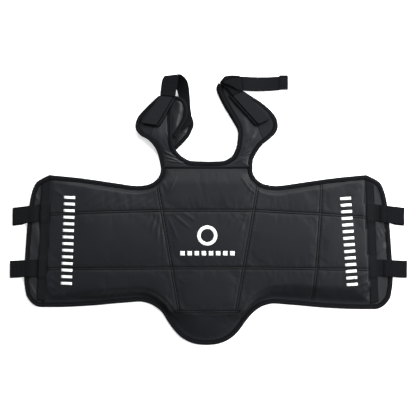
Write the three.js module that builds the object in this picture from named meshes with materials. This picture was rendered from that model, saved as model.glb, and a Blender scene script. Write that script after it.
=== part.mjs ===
// Padded chest protector, lying flat with its front up.
// Millimetres, +X to the picture's right, +Y towards the neck, +Z up from the surface it lies on.
import * as THREE from "three";

// Sizes of the foam-filled body, from the middle line and from the level of the side straps
const CHEST_HALF = 102.5; // half width between the armholes
const SIDE_OUT = 351; // from the middle to the top corner of the left side
const HEM_SPREAD = 18; // how much further out the hem corners are
const HEM_DOWN = 218.5; // left hem corner
const FLAP_WIDTH = 57; // a side flap, from the top corner's seam to its widest point
const RIGHT_LONGER = 5; // the right side lies a little further out and lower
const CORNER_UP = 77; // top corners of the sides
const SEAM_UP = 92.5; // yoke seam
const LOBE_HALF = 100; // half width of the lower lobe at its root
const LOBE_DOWN = 303; // lowest point of the lobe
const LOBE_LINE_DOWN = 229; // seam that closes the foam above the lobe
const DIAGONAL_TOP = 112; // upper end of the diagonal quilting seams, from the middle
const DIAGONAL_FOOT = 56; // lower end of them
const UPPER_LINE_DOWN = 4; // upper cross seam
const LOWER_LINE_DOWN = 131; // lower cross seam
const PAD_THICK = 22;
const QUILT_DEPTH = 4.5;
const QUILT_HALF = 6; // half width of a seam's valley

// Sheets, tapes and gaps
const LEATHER = 2.2;
const TAPE = 1.1;
const GAP = 0.4;
const SEAM_GAP = 0.2; // from a seam's line to each piece sewn there
const BINDING = 11; // seen width of the binding tape
const BINDING_NOSE = 3; // from the fold of the tape to the edge of the leather in it
const WEBBING_WIDTH = 19;
const ELASTIC = 1.6;
const WEBBING_OVER = 2; // how far the webbing covers the body at the top corner
const WEBBING_OVER_FOOT = 8; // and at the hem
const SIDE_STRAP_WIDTH = 38;
const LOOP_CLEAR = 5.2; // height inside a side loop
const LOOP_SEWN = 12; // how far the folded end is sewn back over the flap

// Sizes of the yoke and its two wings
const WING_BEYOND = 57.5; // how far a wing's widest point is beyond the armhole's corner
const WING_OUT = CHEST_HALF + WING_BEYOND;
const WING_RISE = 160; // from the yoke seam to the tip
const WING_PUFF = 2.4;
const TAB_THICK = 2;
const BACK_PEEK = 4.5; // how far the right back leaf shows beyond its wing
const PATCH = 1.2;
const LOOP_STAND = 24; // height of the left shoulder strap's bend

// Heights that follow from the sheets
const BINDING_HALF = LEATHER / 2 + GAP + TAPE;
const RIM = BINDING_HALF; // height of the middle of a bound edge on the surface
const RIM_TOP = RIM + LEATHER / 2;
const STACK = 2 * BINDING_HALF + GAP; // one bound sheet under another

const SIDE_ROWS = [
  { name: "left", sign: -1, longer: 0, flap: FLAP_WIDTH },
  { name: "right", sign: 1, longer: RIGHT_LONGER, flap: FLAP_WIDTH + 3 },
];

const SIDES = SIDE_ROWS.map((row) => ({
  ...row,
  cornerOut: SIDE_OUT + row.longer,
  hemOut: SIDE_OUT + HEM_SPREAD + row.longer,
  hemDown: HEM_DOWN + row.longer * 0.9,
  flapOut: SIDE_OUT + row.longer + row.flap,
}));

// Side straps: height, droop along their length, and reach past the flap.
const SIDE_STRAPS = [
  { name: "upper", at: -6, droop: 9, reach: 27 },
  { name: "lower", at: -130, droop: 3.5, reach: 33 },
];

// Top edge of a side: out is the share from CHEST_HALF to the corner, up the share of CORNER_UP.
const TOP_EDGE = [
  { out: 1, up: 1 },
  { out: 0.714, up: 0.908 },
  { out: 0.44, up: 0.78 },
  { out: 0.264, up: 0.697 },
  { out: 0.185, up: 0.688 },
  { out: 0.103, up: 0.735 },
  { out: 0.046, up: 0.842 },
  { out: 0.016, up: 0.965 },
  { out: 0.002, up: 1.08 },
  { out: 0, up: 1.2 },
];

// Hem of a side: out is the share from LOBE_HALF to the hem corner, down the share of hemDown.
const HEM_EDGE = [
  { out: 1, down: 1 },
  { out: 0.8, down: 0.998 },
  { out: 0.57, down: 0.983 },
  { out: 0.4, down: 0.964 },
  { out: 0.26, down: 0.95 },
  { out: 0.18, down: 0.944 },
  { out: 0.11, down: 0.961 },
  { out: 0.055, down: 0.995 },
  { out: 0, down: 1.052 },
];

// Hem of the lobe: out is a share of LOBE_HALF, down of LOBE_DOWN.
const LOBE_EDGE = [
  { out: 0.87, down: 0.826 },
  { out: 0.735, down: 0.888 },
  { out: 0.6, down: 0.935 },
  { out: 0.47, down: 0.964 },
  { out: 0.335, down: 0.984 },
  { out: 0.2, down: 0.995 },
  { out: 0, down: 1 },
];

// Lower edge of the foam: out as a share of LOBE_HALF, down of LOBE_LINE_DOWN.
const FOAM_FOOT = [
  { out: 0, down: 1 },
  { out: 0.74, down: 1 },
  { out: 0.88, down: 0.955 },
  { out: 1, down: 0.9 },
  { out: 1.15, down: 0.838 },
  { out: 1.3, down: 0.79 },
  { out: 1.45, down: 0.77 },
  { out: 2, down: 0.775 },
  { out: 4, down: 0.82 },
];

// Outline of a side flap: out is the share from the top corner to its widest point, down of its height.
const FLAP_EDGE = [
  { out: 0.1, down: 0.008 },
  { out: 0.36, down: 0.034 },
  { out: 0.53, down: 0.06 },
  { out: 0.64, down: 0.1 },
  { out: 0.72, down: 0.15 },
  { out: 0.78, down: 0.21 },
  { out: 0.83, down: 0.28 },
  { out: 0.9, down: 0.43 },
  { out: 0.965, down: 0.61 },
  { out: 0.99, down: 0.7 },
  { out: 1, down: 0.79 },
  { out: 0.967, down: 0.855 },
  { out: 0.9, down: 0.915 },
  { out: 0.72, down: 0.965 },
  { out: 0.54, down: 0.99 },
  { out: 0.41, down: 0.998 },
];

// Columns of a side, from the webbing (0) to the diagonal seam (1). The right side has one more seam.
const SIDE_COLUMNS = [
  { at: 0, seam: "", edge: true },
  { at: 0.038, seam: "", edge: true },
  { at: 0.08, seam: "" },
  { at: 0.15, seam: "" },
  { at: 0.26, seam: "" },
  { at: 0.395, seam: "" },
  { at: 0.42, seam: "right" },
  { at: 0.445, seam: "" },
  { at: 0.56, seam: "" },
  { at: 0.68, seam: "" },
  { at: 0.79, seam: "" },
  { at: 0.89, seam: "" },
  { at: 0.975, seam: "" },
  { at: 1, seam: "both" },
];

// Half of the columns between the diagonal seams: foot is the share of DIAGONAL_FOOT.
const CHEST_COLUMNS = [
  { top: 0.98, foot: 0.86, onSeam: false },
  { top: 1, foot: 0.78, onSeam: true },
  { top: 0.8, foot: 0.62, onSeam: true },
  { top: 0.52, foot: 0.42, onSeam: true },
  { top: 0.26, foot: 0.21, onSeam: true },
];

// Rows of the body from the hem to the top: the line a row follows, how far beside it, and its height.
const ROWS = [
  { line: "hem", beside: BINDING_NOSE, height: 0 },
  { line: "hem", beside: BINDING + GAP, height: 0 },
  { line: "slope", beside: 0, height: 0.55 },
  { line: "foot", beside: 0, height: 0.9 },
  { line: "foot", beside: 12, height: 1 },
  { line: "lower", beside: -QUILT_HALF, height: 0.98 },
  { line: "lower", beside: 0, height: 1, valley: true },
  { line: "lower", beside: QUILT_HALF, height: 0.98 },
  { line: "middle", beside: 0, height: 1.06 },
  { line: "upper", beside: -QUILT_HALF, height: 0.98 },
  { line: "upper", beside: 0, height: 1, valley: true },
  { line: "upper", beside: QUILT_HALF, height: 0.98 },
  { line: "shoulder", beside: 0, height: 0.97 },
  { line: "top", beside: BINDING + GAP, height: 0 },
  { line: "top", beside: BINDING_NOSE, height: 0 },
];

// Sections across each wing, from the middle of the neck to the tip: in is the neck edge and out the
// armhole edge, as shares of WING_OUT; inUp and outUp are shares of WING_RISE above the yoke seam.
const WING_SECTIONS = {
  left: [
    { in: 0.225, inUp: 0.103, out: 0.3, outUp: 0 },
    { in: 0.31, inUp: 0.142, out: 0.49, outUp: 0 },
    { in: 0.365, inUp: 0.178, out: 0.64, outUp: 0 },
    { in: 0.413, inUp: 0.231, out: 0.66, outUp: 0.106 },
    { in: 0.45, inUp: 0.294, out: 0.68, outUp: 0.1875 },
    { in: 0.473, inUp: 0.394, out: 0.725, outUp: 0.2875 },
    { in: 0.478, inUp: 0.5, out: 0.812, outUp: 0.3875 },
    { in: 0.48, inUp: 0.587, out: 0.915, outUp: 0.447 },
    { in: 0.48, inUp: 0.662, out: 0.982, outUp: 0.525 },
    { in: 0.48, inUp: 0.737, out: 0.99, outUp: 0.6125 },
    { in: 0.48, inUp: 0.812, out: 0.955, outUp: 0.7125 },
    { in: 0.484, inUp: 0.887, out: 0.87, outUp: 0.8125 },
    { in: 0.488, inUp: 0.95, out: 0.77, outUp: 0.9125 },
    { in: 0.494, inUp: 1, out: 0.665, outUp: 1.01 },
  ],
  right: [
    { in: 0.225, inUp: 0.1, out: 0.3, outUp: 0 },
    { in: 0.31, inUp: 0.135, out: 0.49, outUp: 0 },
    { in: 0.361, inUp: 0.175, out: 0.64, outUp: 0 },
    { in: 0.394, inUp: 0.2375, out: 0.646, outUp: 0.1 },
    { in: 0.419, inUp: 0.3125, out: 0.672, outUp: 0.169 },
    { in: 0.43, inUp: 0.3875, out: 0.72, outUp: 0.25 },
    { in: 0.4375, inUp: 0.475, out: 0.7875, outUp: 0.331 },
    { in: 0.435, inUp: 0.544, out: 0.887, outUp: 0.4125 },
    { in: 0.4125, inUp: 0.606, out: 0.9625, outUp: 0.49 },
    { in: 0.375, inUp: 0.675, out: 0.994, outUp: 0.581 },
    { in: 0.331, inUp: 0.75, out: 0.972, outUp: 0.694 },
    { in: 0.281, inUp: 0.831, out: 0.8875, outUp: 0.806 },
    { in: 0.2375, inUp: 0.9125, out: 0.756, outUp: 0.919 },
    { in: 0.185, inUp: 1, out: 0.606, outUp: 1.0125 },
    { in: 0.144, inUp: 1.075, out: 0.494, outUp: 1.075 },
  ],
};
// The sections up to this one end on the yoke seam, the last of them at the armhole's corner
const cornerSection = WING_SECTIONS.left.filter((s) => s.outUp === 0).length - 1;

// Left back leaves: near is the bound edge by the neck, far the edge hidden under the wing.
const LEAF_SECTIONS = {
  lower: [
    { near: 0.41, nearUp: 0.265, far: 0.49, farUp: 0.33 },
    { near: 0.35, nearUp: 0.322, far: 0.56, farUp: 0.37 },
    { near: 0.29, nearUp: 0.387, far: 0.6, farUp: 0.43 },
    { near: 0.245, nearUp: 0.444, far: 0.62, farUp: 0.49 },
    { near: 0.212, nearUp: 0.512, far: 0.63, farUp: 0.56 },
    { near: 0.18, nearUp: 0.6, far: 0.63, farUp: 0.65 },
    { near: 0.195, nearUp: 0.69, far: 0.62, farUp: 0.73 },
    { near: 0.24, nearUp: 0.775, far: 0.6, farUp: 0.8 },
    { near: 0.32, nearUp: 0.84, far: 0.55, farUp: 0.86 },
  ],
  upper: [
    { near: 0.47, nearUp: 0.46, far: 0.58, farUp: 0.45 },
    { near: 0.42, nearUp: 0.52, far: 0.6, farUp: 0.51 },
    { near: 0.37, nearUp: 0.6, far: 0.61, farUp: 0.6 },
    { near: 0.332, nearUp: 0.69, far: 0.61, farUp: 0.7 },
    { near: 0.306, nearUp: 0.79, far: 0.6, farUp: 0.8 },
    { near: 0.294, nearUp: 0.88, far: 0.58, farUp: 0.88 },
    { near: 0.325, nearUp: 0.95, far: 0.55, farUp: 0.94 },
    { near: 0.4, nearUp: 0.99, far: 0.5, farUp: 0.98 },
  ],
};

// Edges a and b of the shoulder straps, station by station: x is a share of WING_OUT, up of WING_RISE
// above the yoke seam, lift of LOOP_STAND above the strap's level on its tab.
const STRAP_SECTIONS = {
  left: [
    { ax: 0.636, aUp: 1.032, aLift: 0, bx: 0.452, bUp: 1.015, bLift: 0 },
    { ax: 0.628, aUp: 1.09, aLift: 0.06, bx: 0.443, bUp: 1.08, bLift: 0.06 },
    { ax: 0.612, aUp: 1.2, aLift: 0.2, bx: 0.42, bUp: 1.2, bLift: 0.24 },
    { ax: 0.592, aUp: 1.262, aLift: 0.2, bx: 0.4, bUp: 1.28, bLift: 0.36 },
    { ax: 0.56, aUp: 1.276, aLift: 0.02, bx: 0.365, bUp: 1.298, bLift: 0.34 },
    { ax: 0.5, aUp: 1.258, aLift: -0.3, bx: 0.32, bUp: 1.272, bLift: 0.2 },
    { ax: 0.455, aUp: 1.2, aLift: -0.55, bx: 0.278, bUp: 1.215, bLift: 0 },
    { ax: 0.42, aUp: 1.1, aLift: -0.72, bx: 0.252, bUp: 1.12, bLift: -0.25 },
    { ax: 0.39, aUp: 0.98, aLift: -0.76, bx: 0.24, bUp: 1, bLift: -0.5 },
    { ax: 0.37, aUp: 0.84, aLift: -0.76, bx: 0.226, bUp: 0.85, bLift: -0.72 },
    { ax: 0.365, aUp: 0.74, aLift: -0.76, bx: 0.21, bUp: 0.73, bLift: -0.76 },
    { ax: 0.36, aUp: 0.62, aLift: -0.76, bx: 0.2, bUp: 0.64, bLift: -0.76 },
  ],
  right: [
    { ax: 0.345, aUp: 1.028, aLift: 0, bx: 0.487, bUp: 1.096, bLift: 0 },
    { ax: 0.29, aUp: 1.1, aLift: 0.04, bx: 0.44, bUp: 1.17, bLift: 0.02 },
    { ax: 0.22, aUp: 1.15, aLift: 0.06, bx: 0.34, bUp: 1.24, bLift: 0.04 },
    { ax: 0.17, aUp: 1.175, aLift: 0.1, bx: 0.265, bUp: 1.282, bLift: 0.08 },
    { ax: 0.155, aUp: 1.19, aLift: 0.22, bx: 0.255, bUp: 1.3, bLift: 0.2 },
    { ax: 0.2, aUp: 1.185, aLift: 0.34, bx: 0.33, bUp: 1.304, bLift: 0.3 },
    { ax: 0.33, aUp: 1.15, aLift: 0.34, bx: 0.45, bUp: 1.302, bLift: 0.26 },
    { ax: 0.5, aUp: 1.1, aLift: 0.2, bx: 0.55, bUp: 1.292, bLift: 0.1 },
    { ax: 0.66, aUp: 1.098, aLift: -0.2, bx: 0.66, bUp: 1.284, bLift: -0.28 },
    { ax: 0.82, aUp: 1.1, aLift: -0.5, bx: 0.82, bUp: 1.285, bLift: -0.52 },
    { ax: 1.01, aUp: 1.108, aLift: -0.64, bx: 1.01, bUp: 1.292, bLift: -0.64 },
  ],
};
const END_TAB_LENGTH = 21;
const END_TAB_WIDTH = 32;
const END_TAB_THICK = 3.2;

// Corners of the hook tabs, in the shares that the shoulder straps use.
const TAB_CORNERS = {
  left: {
    top: { ax: 0.636, aUp: 1.03, bx: 0.452, bUp: 1.013 },
    foot: { ax: 0.911, aUp: 0.626, bx: 0.702, bUp: 0.592 },
  },
  right: {
    top: { ax: 0.345, aUp: 1.026, bx: 0.487, bUp: 1.094 },
    foot: { ax: 0.727, aUp: 0.604, bx: 0.886, bUp: 0.684 },
  },
};

// Finishes
const finish = (color, roughness) => new THREE.MeshStandardMaterial({ color, roughness, metalness: 0 });
const leather = () => finish(0x28292c, 0.42);
const lining = () => finish(0x3a3b40, 0.3);
const tape = () => finish(0x1e1f22, 0.75);
const elastic = () => finish(0x222326, 0.85);
const pile = () => finish(0x26272a, 0.95);

const lerp = THREE.MathUtils.lerp;
const v3 = (x, y, z) => new THREE.Vector3(x, y, z);
const group = new THREE.Group();

// A closed sheet between two grids of points, upper and lower, with as many rows and columns in each.
function sheet(name, upper, lower, material) {
  const rows = upper.length;
  const columns = upper[0].length;
  const points = [...upper.flat(), ...lower.flat()];
  const over = (i, j) => i * columns + j;
  const under = (i, j) => rows * columns + i * columns + j;
  const faces = [];
  const quad = (a, b, c, d) => faces.push(a, b, c, a, c, d);
  for (let i = 0; i + 1 < rows; i++) {
    for (let j = 0; j + 1 < columns; j++) {
      quad(over(i, j), over(i + 1, j), over(i + 1, j + 1), over(i, j + 1));
      quad(under(i, j), under(i, j + 1), under(i + 1, j + 1), under(i + 1, j));
    }
    quad(over(i, 0), under(i, 0), under(i + 1, 0), over(i + 1, 0));
    const last = columns - 1;
    quad(over(i, last), over(i + 1, last), under(i + 1, last), under(i, last));
  }
  for (let j = 0; j + 1 < columns; j++) {
    quad(over(0, j), over(0, j + 1), under(0, j + 1), under(0, j));
    quad(over(rows - 1, j), under(rows - 1, j), under(rows - 1, j + 1), over(rows - 1, j + 1));
  }
  if (signedVolume(points, faces) < 0) faces.reverse();
  const geometry = new THREE.BufferGeometry().setFromPoints(points);
  geometry.setIndex(faces);
  geometry.computeVertexNormals();
  const mesh = new THREE.Mesh(geometry, material);
  mesh.name = name;
  group.add(mesh);
}

function signedVolume(points, faces) {
  let volume = 0;
  for (let i = 0; i < faces.length; i += 3) {
    const [a, b, c] = faces.slice(i, i + 3).map((k) => points[k]);
    volume += a.dot(b.clone().cross(c)) / 6;
  }
  return volume;
}

// A curve through the knots, read as a height over x.
function heightOver(knots) {
  const curve = new THREE.SplineCurve(knots.map(([x, y]) => new THREE.Vector2(x, y)));
  const points = curve.getPoints(knots.length * 12);
  points.sort((p, q) => p.x - q.x);
  return (x) => {
    const k = points.findIndex((p) => p.x >= x);
    if (k < 0) return points[points.length - 1].y;
    if (k === 0) return points[0].y;
    const [p, q] = [points[k - 1], points[k]];
    return lerp(p.y, q.y, (x - p.x) / Math.max(q.x - p.x, 1e-6));
  };
}

// Unit vector to the inner side of an outline at each of its points; turn is 1 or -1.
function inward(outline, turn) {
  return outline.map((p, i) => {
    const before = outline[Math.max(i - 1, 0)];
    const after = outline[Math.min(i + 1, outline.length - 1)];
    return v3(-(after.y - before.y) * turn, (after.x - before.x) * turn, 0).normalize();
  });
}

// A folded tape round a bound edge. The outline's points carry the height of the middle of the leather.
function binding(name, outline, turn) {
  const normals = inward(outline, turn);
  const half = BINDING_HALF;
  const slot = LEATHER / 2 + GAP;
  const fold = BINDING_NOSE - GAP;
  const shoulder = [fold * 0.7, half * 0.96];
  const outer = [[BINDING, half], shoulder, [0, 0], [shoulder[0], -shoulder[1]], [BINDING, -half]];
  const inner = [[BINDING, slot], [fold, slot], [TAPE, 0], [fold, -slot], [BINDING, -slot]];
  const place = (p, normal, [across, up]) => p.clone().addScaledVector(normal, across).add(v3(0, 0, up));
  const grid = (profile) => outline.map((p, i) => profile.map((at) => place(p, normals[i], at)));
  sheet(name, grid(outer), grid(inner), tape());
}

// Outline of the body
const topKnots = (side) =>
  TOP_EDGE.map((k) => [lerp(CHEST_HALF, side.cornerOut, k.out), CORNER_UP * k.up]);
const hemKnots = (side) => [
  ...HEM_EDGE.map((k) => [lerp(LOBE_HALF, side.hemOut, k.out), -side.hemDown * k.down]),
  ...LOBE_EDGE.map((k) => [LOBE_HALF * k.out, -LOBE_DOWN * k.down]),
];
const footOver = heightOver(FOAM_FOOT.map((k) => [LOBE_HALF * k.out, -LOBE_LINE_DOWN * k.down]));

// The body's columns on one side: a point on the top outline, one on the hem, and whether it is a seam.
function columnsOf(side) {
  const topOver = heightOver(topKnots(side));
  const hemOver = heightOver(hemKnots(side));
  const onHem = (x) => v3(side.sign * x, hemOver(x), RIM);
  const sideColumns = SIDE_COLUMNS.map((c) => {
    const topX = lerp(side.cornerOut, DIAGONAL_TOP, c.at);
    const hemX = lerp(side.hemOut, DIAGONAL_FOOT, c.at);
    return {
      top: v3(side.sign * topX, topOver(topX), RIM),
      hem: onHem(hemX),
      seam: c.seam === "both" || c.seam === side.name,
      edge: c.edge === true,
      onSeam: false,
    };
  });
  const chestColumns = CHEST_COLUMNS.map((c, i) => {
    const topX = c.onSeam ? CHEST_HALF * c.top : lerp(CHEST_HALF, DIAGONAL_TOP, 0.42);
    return {
      top: v3(side.sign * topX, c.onSeam ? SEAM_UP : topOver(topX), RIM),
      hem: onHem(DIAGONAL_FOOT * c.foot),
      seam: false,
      edge: false,
      onSeam: c.onSeam,
      corner: c.onSeam && c.top === 1,
    };
  });
  return [...sideColumns, ...chestColumns];
}

const columns = { left: columnsOf(SIDES[0]), right: columnsOf(SIDES[1]) };
const middle = {
  top: v3(0, SEAM_UP, RIM),
  hem: v3(0, -LOBE_DOWN, RIM),
  seam: false,
  edge: false,
  onSeam: true,
};
const body = [...columns.left, middle, ...[...columns.right].reverse()];
const hemOutline = body.map((c) => c.hem);
const hemNormals = inward(hemOutline, 1);
const topNormals = inward(body.map((c) => c.top), -1).map((n, i) => {
  if (body[i].corner) return v3(-Math.sign(body[i].top.x), -0.12, 0);
  return body[i].onSeam ? v3(0, -1, 0) : n;
});

// Upper and lower points of the quilted pad, column by column from the left side to the right one
function padSurface() {
  const footLine = (x) => footOver(Math.abs(x));
  const upper = [];
  const lower = [];
  body.forEach((column, i) => {
    const hemIn = column.hem.clone().addScaledVector(hemNormals[i], BINDING + GAP);
    const topIn = column.top.clone().addScaledVector(topNormals[i], BINDING + GAP);
    const along = (y) => hemIn.clone().lerp(topIn, (y - hemIn.y) / (topIn.y - hemIn.y));
    const onLine = (line) => along(line(along(line(hemIn.x)).x));
    const footY = onLine(footLine).y;
    const places = {
      hem: (row) => column.hem.clone().addScaledVector(hemNormals[i], row.beside),
      top: (row) => {
        const sewn = column.onSeam && !column.corner && row.beside === BINDING_NOSE;
        return column.top.clone().addScaledVector(topNormals[i], sewn ? SEAM_GAP : row.beside);
      },
      slope: () => along(lerp(hemIn.y, footY, 0.5)),
      foot: (row) => along(footY + row.beside),
      lower: (row) => along(row.beside - LOWER_LINE_DOWN),
      upper: (row) => along(row.beside - UPPER_LINE_DOWN),
      middle: () => along(-(LOWER_LINE_DOWN + UPPER_LINE_DOWN) / 2),
      shoulder: () => along(topIn.y - QUILT_HALF * 1.5),
    };
    const valley = column.seam ? QUILT_DEPTH : 0;
    const points = ROWS.map((row) => {
      const p = places[row.line](row);
      const overLobe = Math.abs(column.hem.x) <= DIAGONAL_FOOT;
      const lobeSeam = overLobe && row.line === "foot" && row.beside === 0;
      const dip = Math.max(valley, row.valley || lobeSeam ? QUILT_DEPTH : 0);
      const high = row.height * PAD_THICK - dip;
      p.z = column.edge || row.height === 0 ? RIM_TOP : Math.max(high, RIM_TOP);
      return p;
    });
    points[0].z = points[ROWS.length - 1].z = RIM_TOP;
    upper.push(points);
    lower.push(points.map((p, k) => {
      const rim = column.edge || k === 0 || k === 1 || k >= ROWS.length - 2;
      return v3(p.x, p.y, rim ? RIM_TOP - LEATHER : 0);
    }));
  });
  return { upper, lower };
}

const pad = padSurface();

// Yoke and wings
const signOf = { left: -1, right: 1 };
const lift = { left: 2 * STACK + ELASTIC + GAP, right: STACK };

// Shares of WING_RISE between which a wing climbs onto its leaves
const LIFTED_FROM = 0.1;
const LIFTED_TO = { left: 0.46, right: 0.38 };
const climb = (wing, share) => THREE.MathUtils.smoothstep(share, LIFTED_FROM, LIFTED_TO[wing]);
const rimOn = (wing, share) => RIM + lift[wing] * climb(wing, share);

const refined = (points) => new THREE.CatmullRomCurve3(points).getPoints(2 * (points.length - 1));

// Near and far edge points of a wing's sections, with one more between each two of the free sections
function wingEdges(wing) {
  const place = (out, up) => v3(signOf[wing] * out * WING_OUT, SEAM_UP + up * WING_RISE, 0);
  const near = WING_SECTIONS[wing].map((s) => place(s.in, s.inUp));
  const far = WING_SECTIONS[wing].map((s) => place(s.out, s.outUp));
  far[cornerSection].x = signOf[wing] * CHEST_HALF;
  const nearAll = [...near.slice(0, cornerSection), ...refined(near.slice(cornerSection))];
  const farAll = [...far.slice(0, cornerSection), ...refined(far.slice(cornerSection))];
  for (const p of [...nearAll, ...farAll]) p.z = rimOn(wing, (p.y - SEAM_UP) / WING_RISE);
  return nearAll.map((p, i) => ({ near: p, far: farAll[i] }));
}

const wings = { left: wingEdges("left"), right: wingEdges("right") };
const neckMiddle = v3(0, SEAM_UP + 0.092 * WING_RISE, RIM);
const neckOutline = [
  ...[...wings.left].reverse().map((s) => s.near),
  neckMiddle,
  ...wings.right.map((s) => s.near),
];
const armholeOutline = (side) => [
  ...columns[side.name].filter((c) => !c.onSeam || c.corner).map((c) => c.top),
  ...wings[side.name].slice(cornerSection + 1).map((s) => s.far),
];

const WING_ACROSS = [0, 0.28, 0.5, 0.72, 1];
const PUFF = [0, 0.75, 1, 0.75, 0];

// Upper and lower points of the yoke, section by section from the left tip to the right one.
function yokeSurface() {
  const normals = inward(neckOutline, -1);
  const far = { left: armholeOutline(SIDES[0]), right: armholeOutline(SIDES[1]) };
  const farNormals = { left: inward(far.left, -1), right: inward(far.right, 1) };
  const upper = [];
  const lower = [];
  const section = (near, nearNormal, to, farIn, bound) => {
    const from = near.clone().addScaledVector(nearNormal, BINDING_NOSE);
    const nearIn = near.clone().addScaledVector(nearNormal, BINDING + GAP);
    const points = WING_ACROSS.map((t) => nearIn.clone().lerp(farIn, t));
    const puff = bound ? WING_PUFF : 0;
    const all = [from, ...points, to];
    upper.push(all.map((p, k) => p.clone().add(v3(0, 0, LEATHER / 2 + puff * (PUFF[k - 1] ?? 0)))));
    lower.push(all.map((p) => p.clone().add(v3(0, 0, -LEATHER / 2))));
  };
  const half = (wing) =>
    wings[wing].map((s, i) => {
      const k = wing === "left" ? wings.left.length - 1 - i : wings.left.length + 1 + i;
      const free = i > cornerSection;
      const normal = farNormals[wing][far[wing].length - wings[wing].length + i];
      const inX = (distance) => (i === cornerSection ? -signOf[wing] * distance : 0);
      const shift = (distance, up) =>
        free ? s.far.clone().addScaledVector(normal, distance) : s.far.clone().add(v3(inX(distance), up, 0));
      return [s.near, normals[k], shift(BINDING_NOSE, SEAM_GAP), shift(BINDING + GAP, SEAM_GAP + 1), free];
    });
  [...half("left")].reverse().forEach((row) => section(...row));
  const seamUp = (up) => middle.top.clone().add(v3(0, up, 0));
  section(neckMiddle, v3(0, -1, 0), seamUp(SEAM_GAP), seamUp(SEAM_GAP + 1), false);
  half("right").forEach((row) => section(...row));
  return { upper, lower };
}

const yoke = yokeSurface();
const raised = (points, height) => points.map((p) => p.clone().add(v3(0, 0, height)));

// The loop-pile patch on the outer half of each wing's tip
const patchSections = Math.round(wings.left.length * 0.52);
const patchColumns = WING_ACROSS.length - 2;

function loopPatch(wing) {
  const ends = { left: [0, patchSections], right: [-patchSections] };
  const patch = yoke.upper.slice(...ends[wing]).map((points) => points.slice(patchColumns, -1));
  const level = (height) => patch.map((row) => raised(row, height));
  sheet(`${wing}_loop_patch`, level(GAP + PATCH), level(GAP), pile());
}

// Heights over a wing: its patch, the hook pad on that, the strap's own end on top
const patchTop = (wing) => RIM + lift[wing] + LEATHER / 2 + WING_PUFF + GAP + PATCH;
const padBottom = (wing) => patchTop(wing) + GAP;
const tabBottom = (wing) => padBottom(wing) + TAB_THICK + GAP;
const strapLevel = (wing) => tabBottom(wing) + ELASTIC / 2;
const atShare = (wing, x, up, z) => v3(signOf[wing] * x * WING_OUT, SEAM_UP + up * WING_RISE, z);

// A flat tab between its top and foot edges, drawn in by a margin on every side
function tab(name, wing, bottom, thick, margin, material) {
  const { top, foot } = TAB_CORNERS[wing];
  const a = atShare(wing, top.ax, top.aUp, bottom);
  const b = atShare(wing, top.bx, top.bUp, bottom);
  const c = atShare(wing, foot.ax, foot.aUp, bottom);
  const d = atShare(wing, foot.bx, foot.bUp, bottom);
  const centre = a.clone().add(b).add(c).add(d).multiplyScalar(0.25);
  const pulled = [a, b, c, d].map((p) => p.clone().add(centre.clone().sub(p).setLength(margin)));
  const grid = [[pulled[0], pulled[1]], [pulled[2], pulled[3]]];
  sheet(name, grid.map((row) => raised(row, thick)), grid, material);
}

// A flat strap through stations, each with the points of its two edges
function ribbon(name, stations, thick, material) {
  const centres = stations.map((s) => s.a.clone().add(s.b).multiplyScalar(0.5));
  const normals = stations.map((s, i) => {
    const along = centres[Math.min(i + 1, centres.length - 1)].clone().sub(centres[Math.max(i - 1, 0)]);
    return along.cross(s.b.clone().sub(s.a)).normalize();
  });
  const offset = (distance) =>
    stations.map((s, i) => [s.a, s.b].map((p) => p.clone().addScaledVector(normals[i], distance)));
  sheet(name, offset(thick / 2), offset(-thick / 2), material);
}

function shoulderStrap(wing) {
  const level = strapLevel(wing);
  const stations = STRAP_SECTIONS[wing].map((s) => ({
    a: atShare(wing, s.ax, s.aUp, level + s.aLift * LOOP_STAND),
    b: atShare(wing, s.bx, s.bUp, level + s.bLift * LOOP_STAND),
  }));
  ribbon(`${wing}_shoulder_strap`, stations, ELASTIC, elastic());
  return stations[stations.length - 1];
}

function endTab(last) {
  const x = last.a.x + GAP;
  const y = (last.a.y + last.b.y) / 2;
  const low = Math.max(last.a.z - END_TAB_THICK / 2, 0);
  const grid = [x, x + END_TAB_LENGTH].map((px) =>
    [-1, 1].map((side) => v3(px, y + (side * END_TAB_WIDTH) / 2, low)));
  sheet("right_strap_end_tab", grid.map((row) => raised(row, END_TAB_THICK)), grid, elastic());
}

// The bound leaves behind the wings
function leaf(name, sections) {
  const outline = sections.map((s) => s.near);
  const normals = inward(outline, 1);
  const rows = sections.map((s, i) => {
    const from = s.near.clone().addScaledVector(normals[i], BINDING_NOSE);
    const in1 = s.near.clone().addScaledVector(normals[i], BINDING + GAP);
    return [from, in1, in1.clone().lerp(s.far, 0.5), s.far];
  });
  const level = (height) => rows.map((row) => raised(row, height));
  sheet(name, level(LEATHER / 2), level(-LEATHER / 2), lining());
  binding(`${name}_binding`, outline, 1);
}

function leftLeaf(which, rim) {
  const sections = LEAF_SECTIONS[which].map((s) => ({
    near: atShare("left", s.near, s.nearUp, rim),
    far: atShare("left", s.far, s.farUp, rim),
  }));
  leaf(`left_back_leaf_${which}`, sections);
}

function rightLeaf() {
  const hidden = Math.round(wings.right.length * 0.3);
  const sections = wings.right.slice(hidden).map((s) => {
    const near = v3(s.near.x - BACK_PEEK, s.near.y, RIM);
    const far = v3(lerp(s.near.x, s.far.x, 0.7), lerp(s.near.y, s.far.y, 0.7), RIM);
    return { near, far };
  });
  sections.reverse();
  leaf("right_back_leaf", sections);
}

// Side flaps with the webbing and straps on them
const flapOutline = (side) =>
  FLAP_EDGE.map((k) => v3(
    side.sign * lerp(side.cornerOut, side.flapOut, k.out),
    lerp(CORNER_UP, -side.hemDown, k.down),
    RIM,
  ));

const downShare = (side, y) => (CORNER_UP - y) / (CORNER_UP + side.hemDown);
const sideLine = (side, y) => lerp(side.cornerOut, side.hemOut, downShare(side, y));

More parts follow.
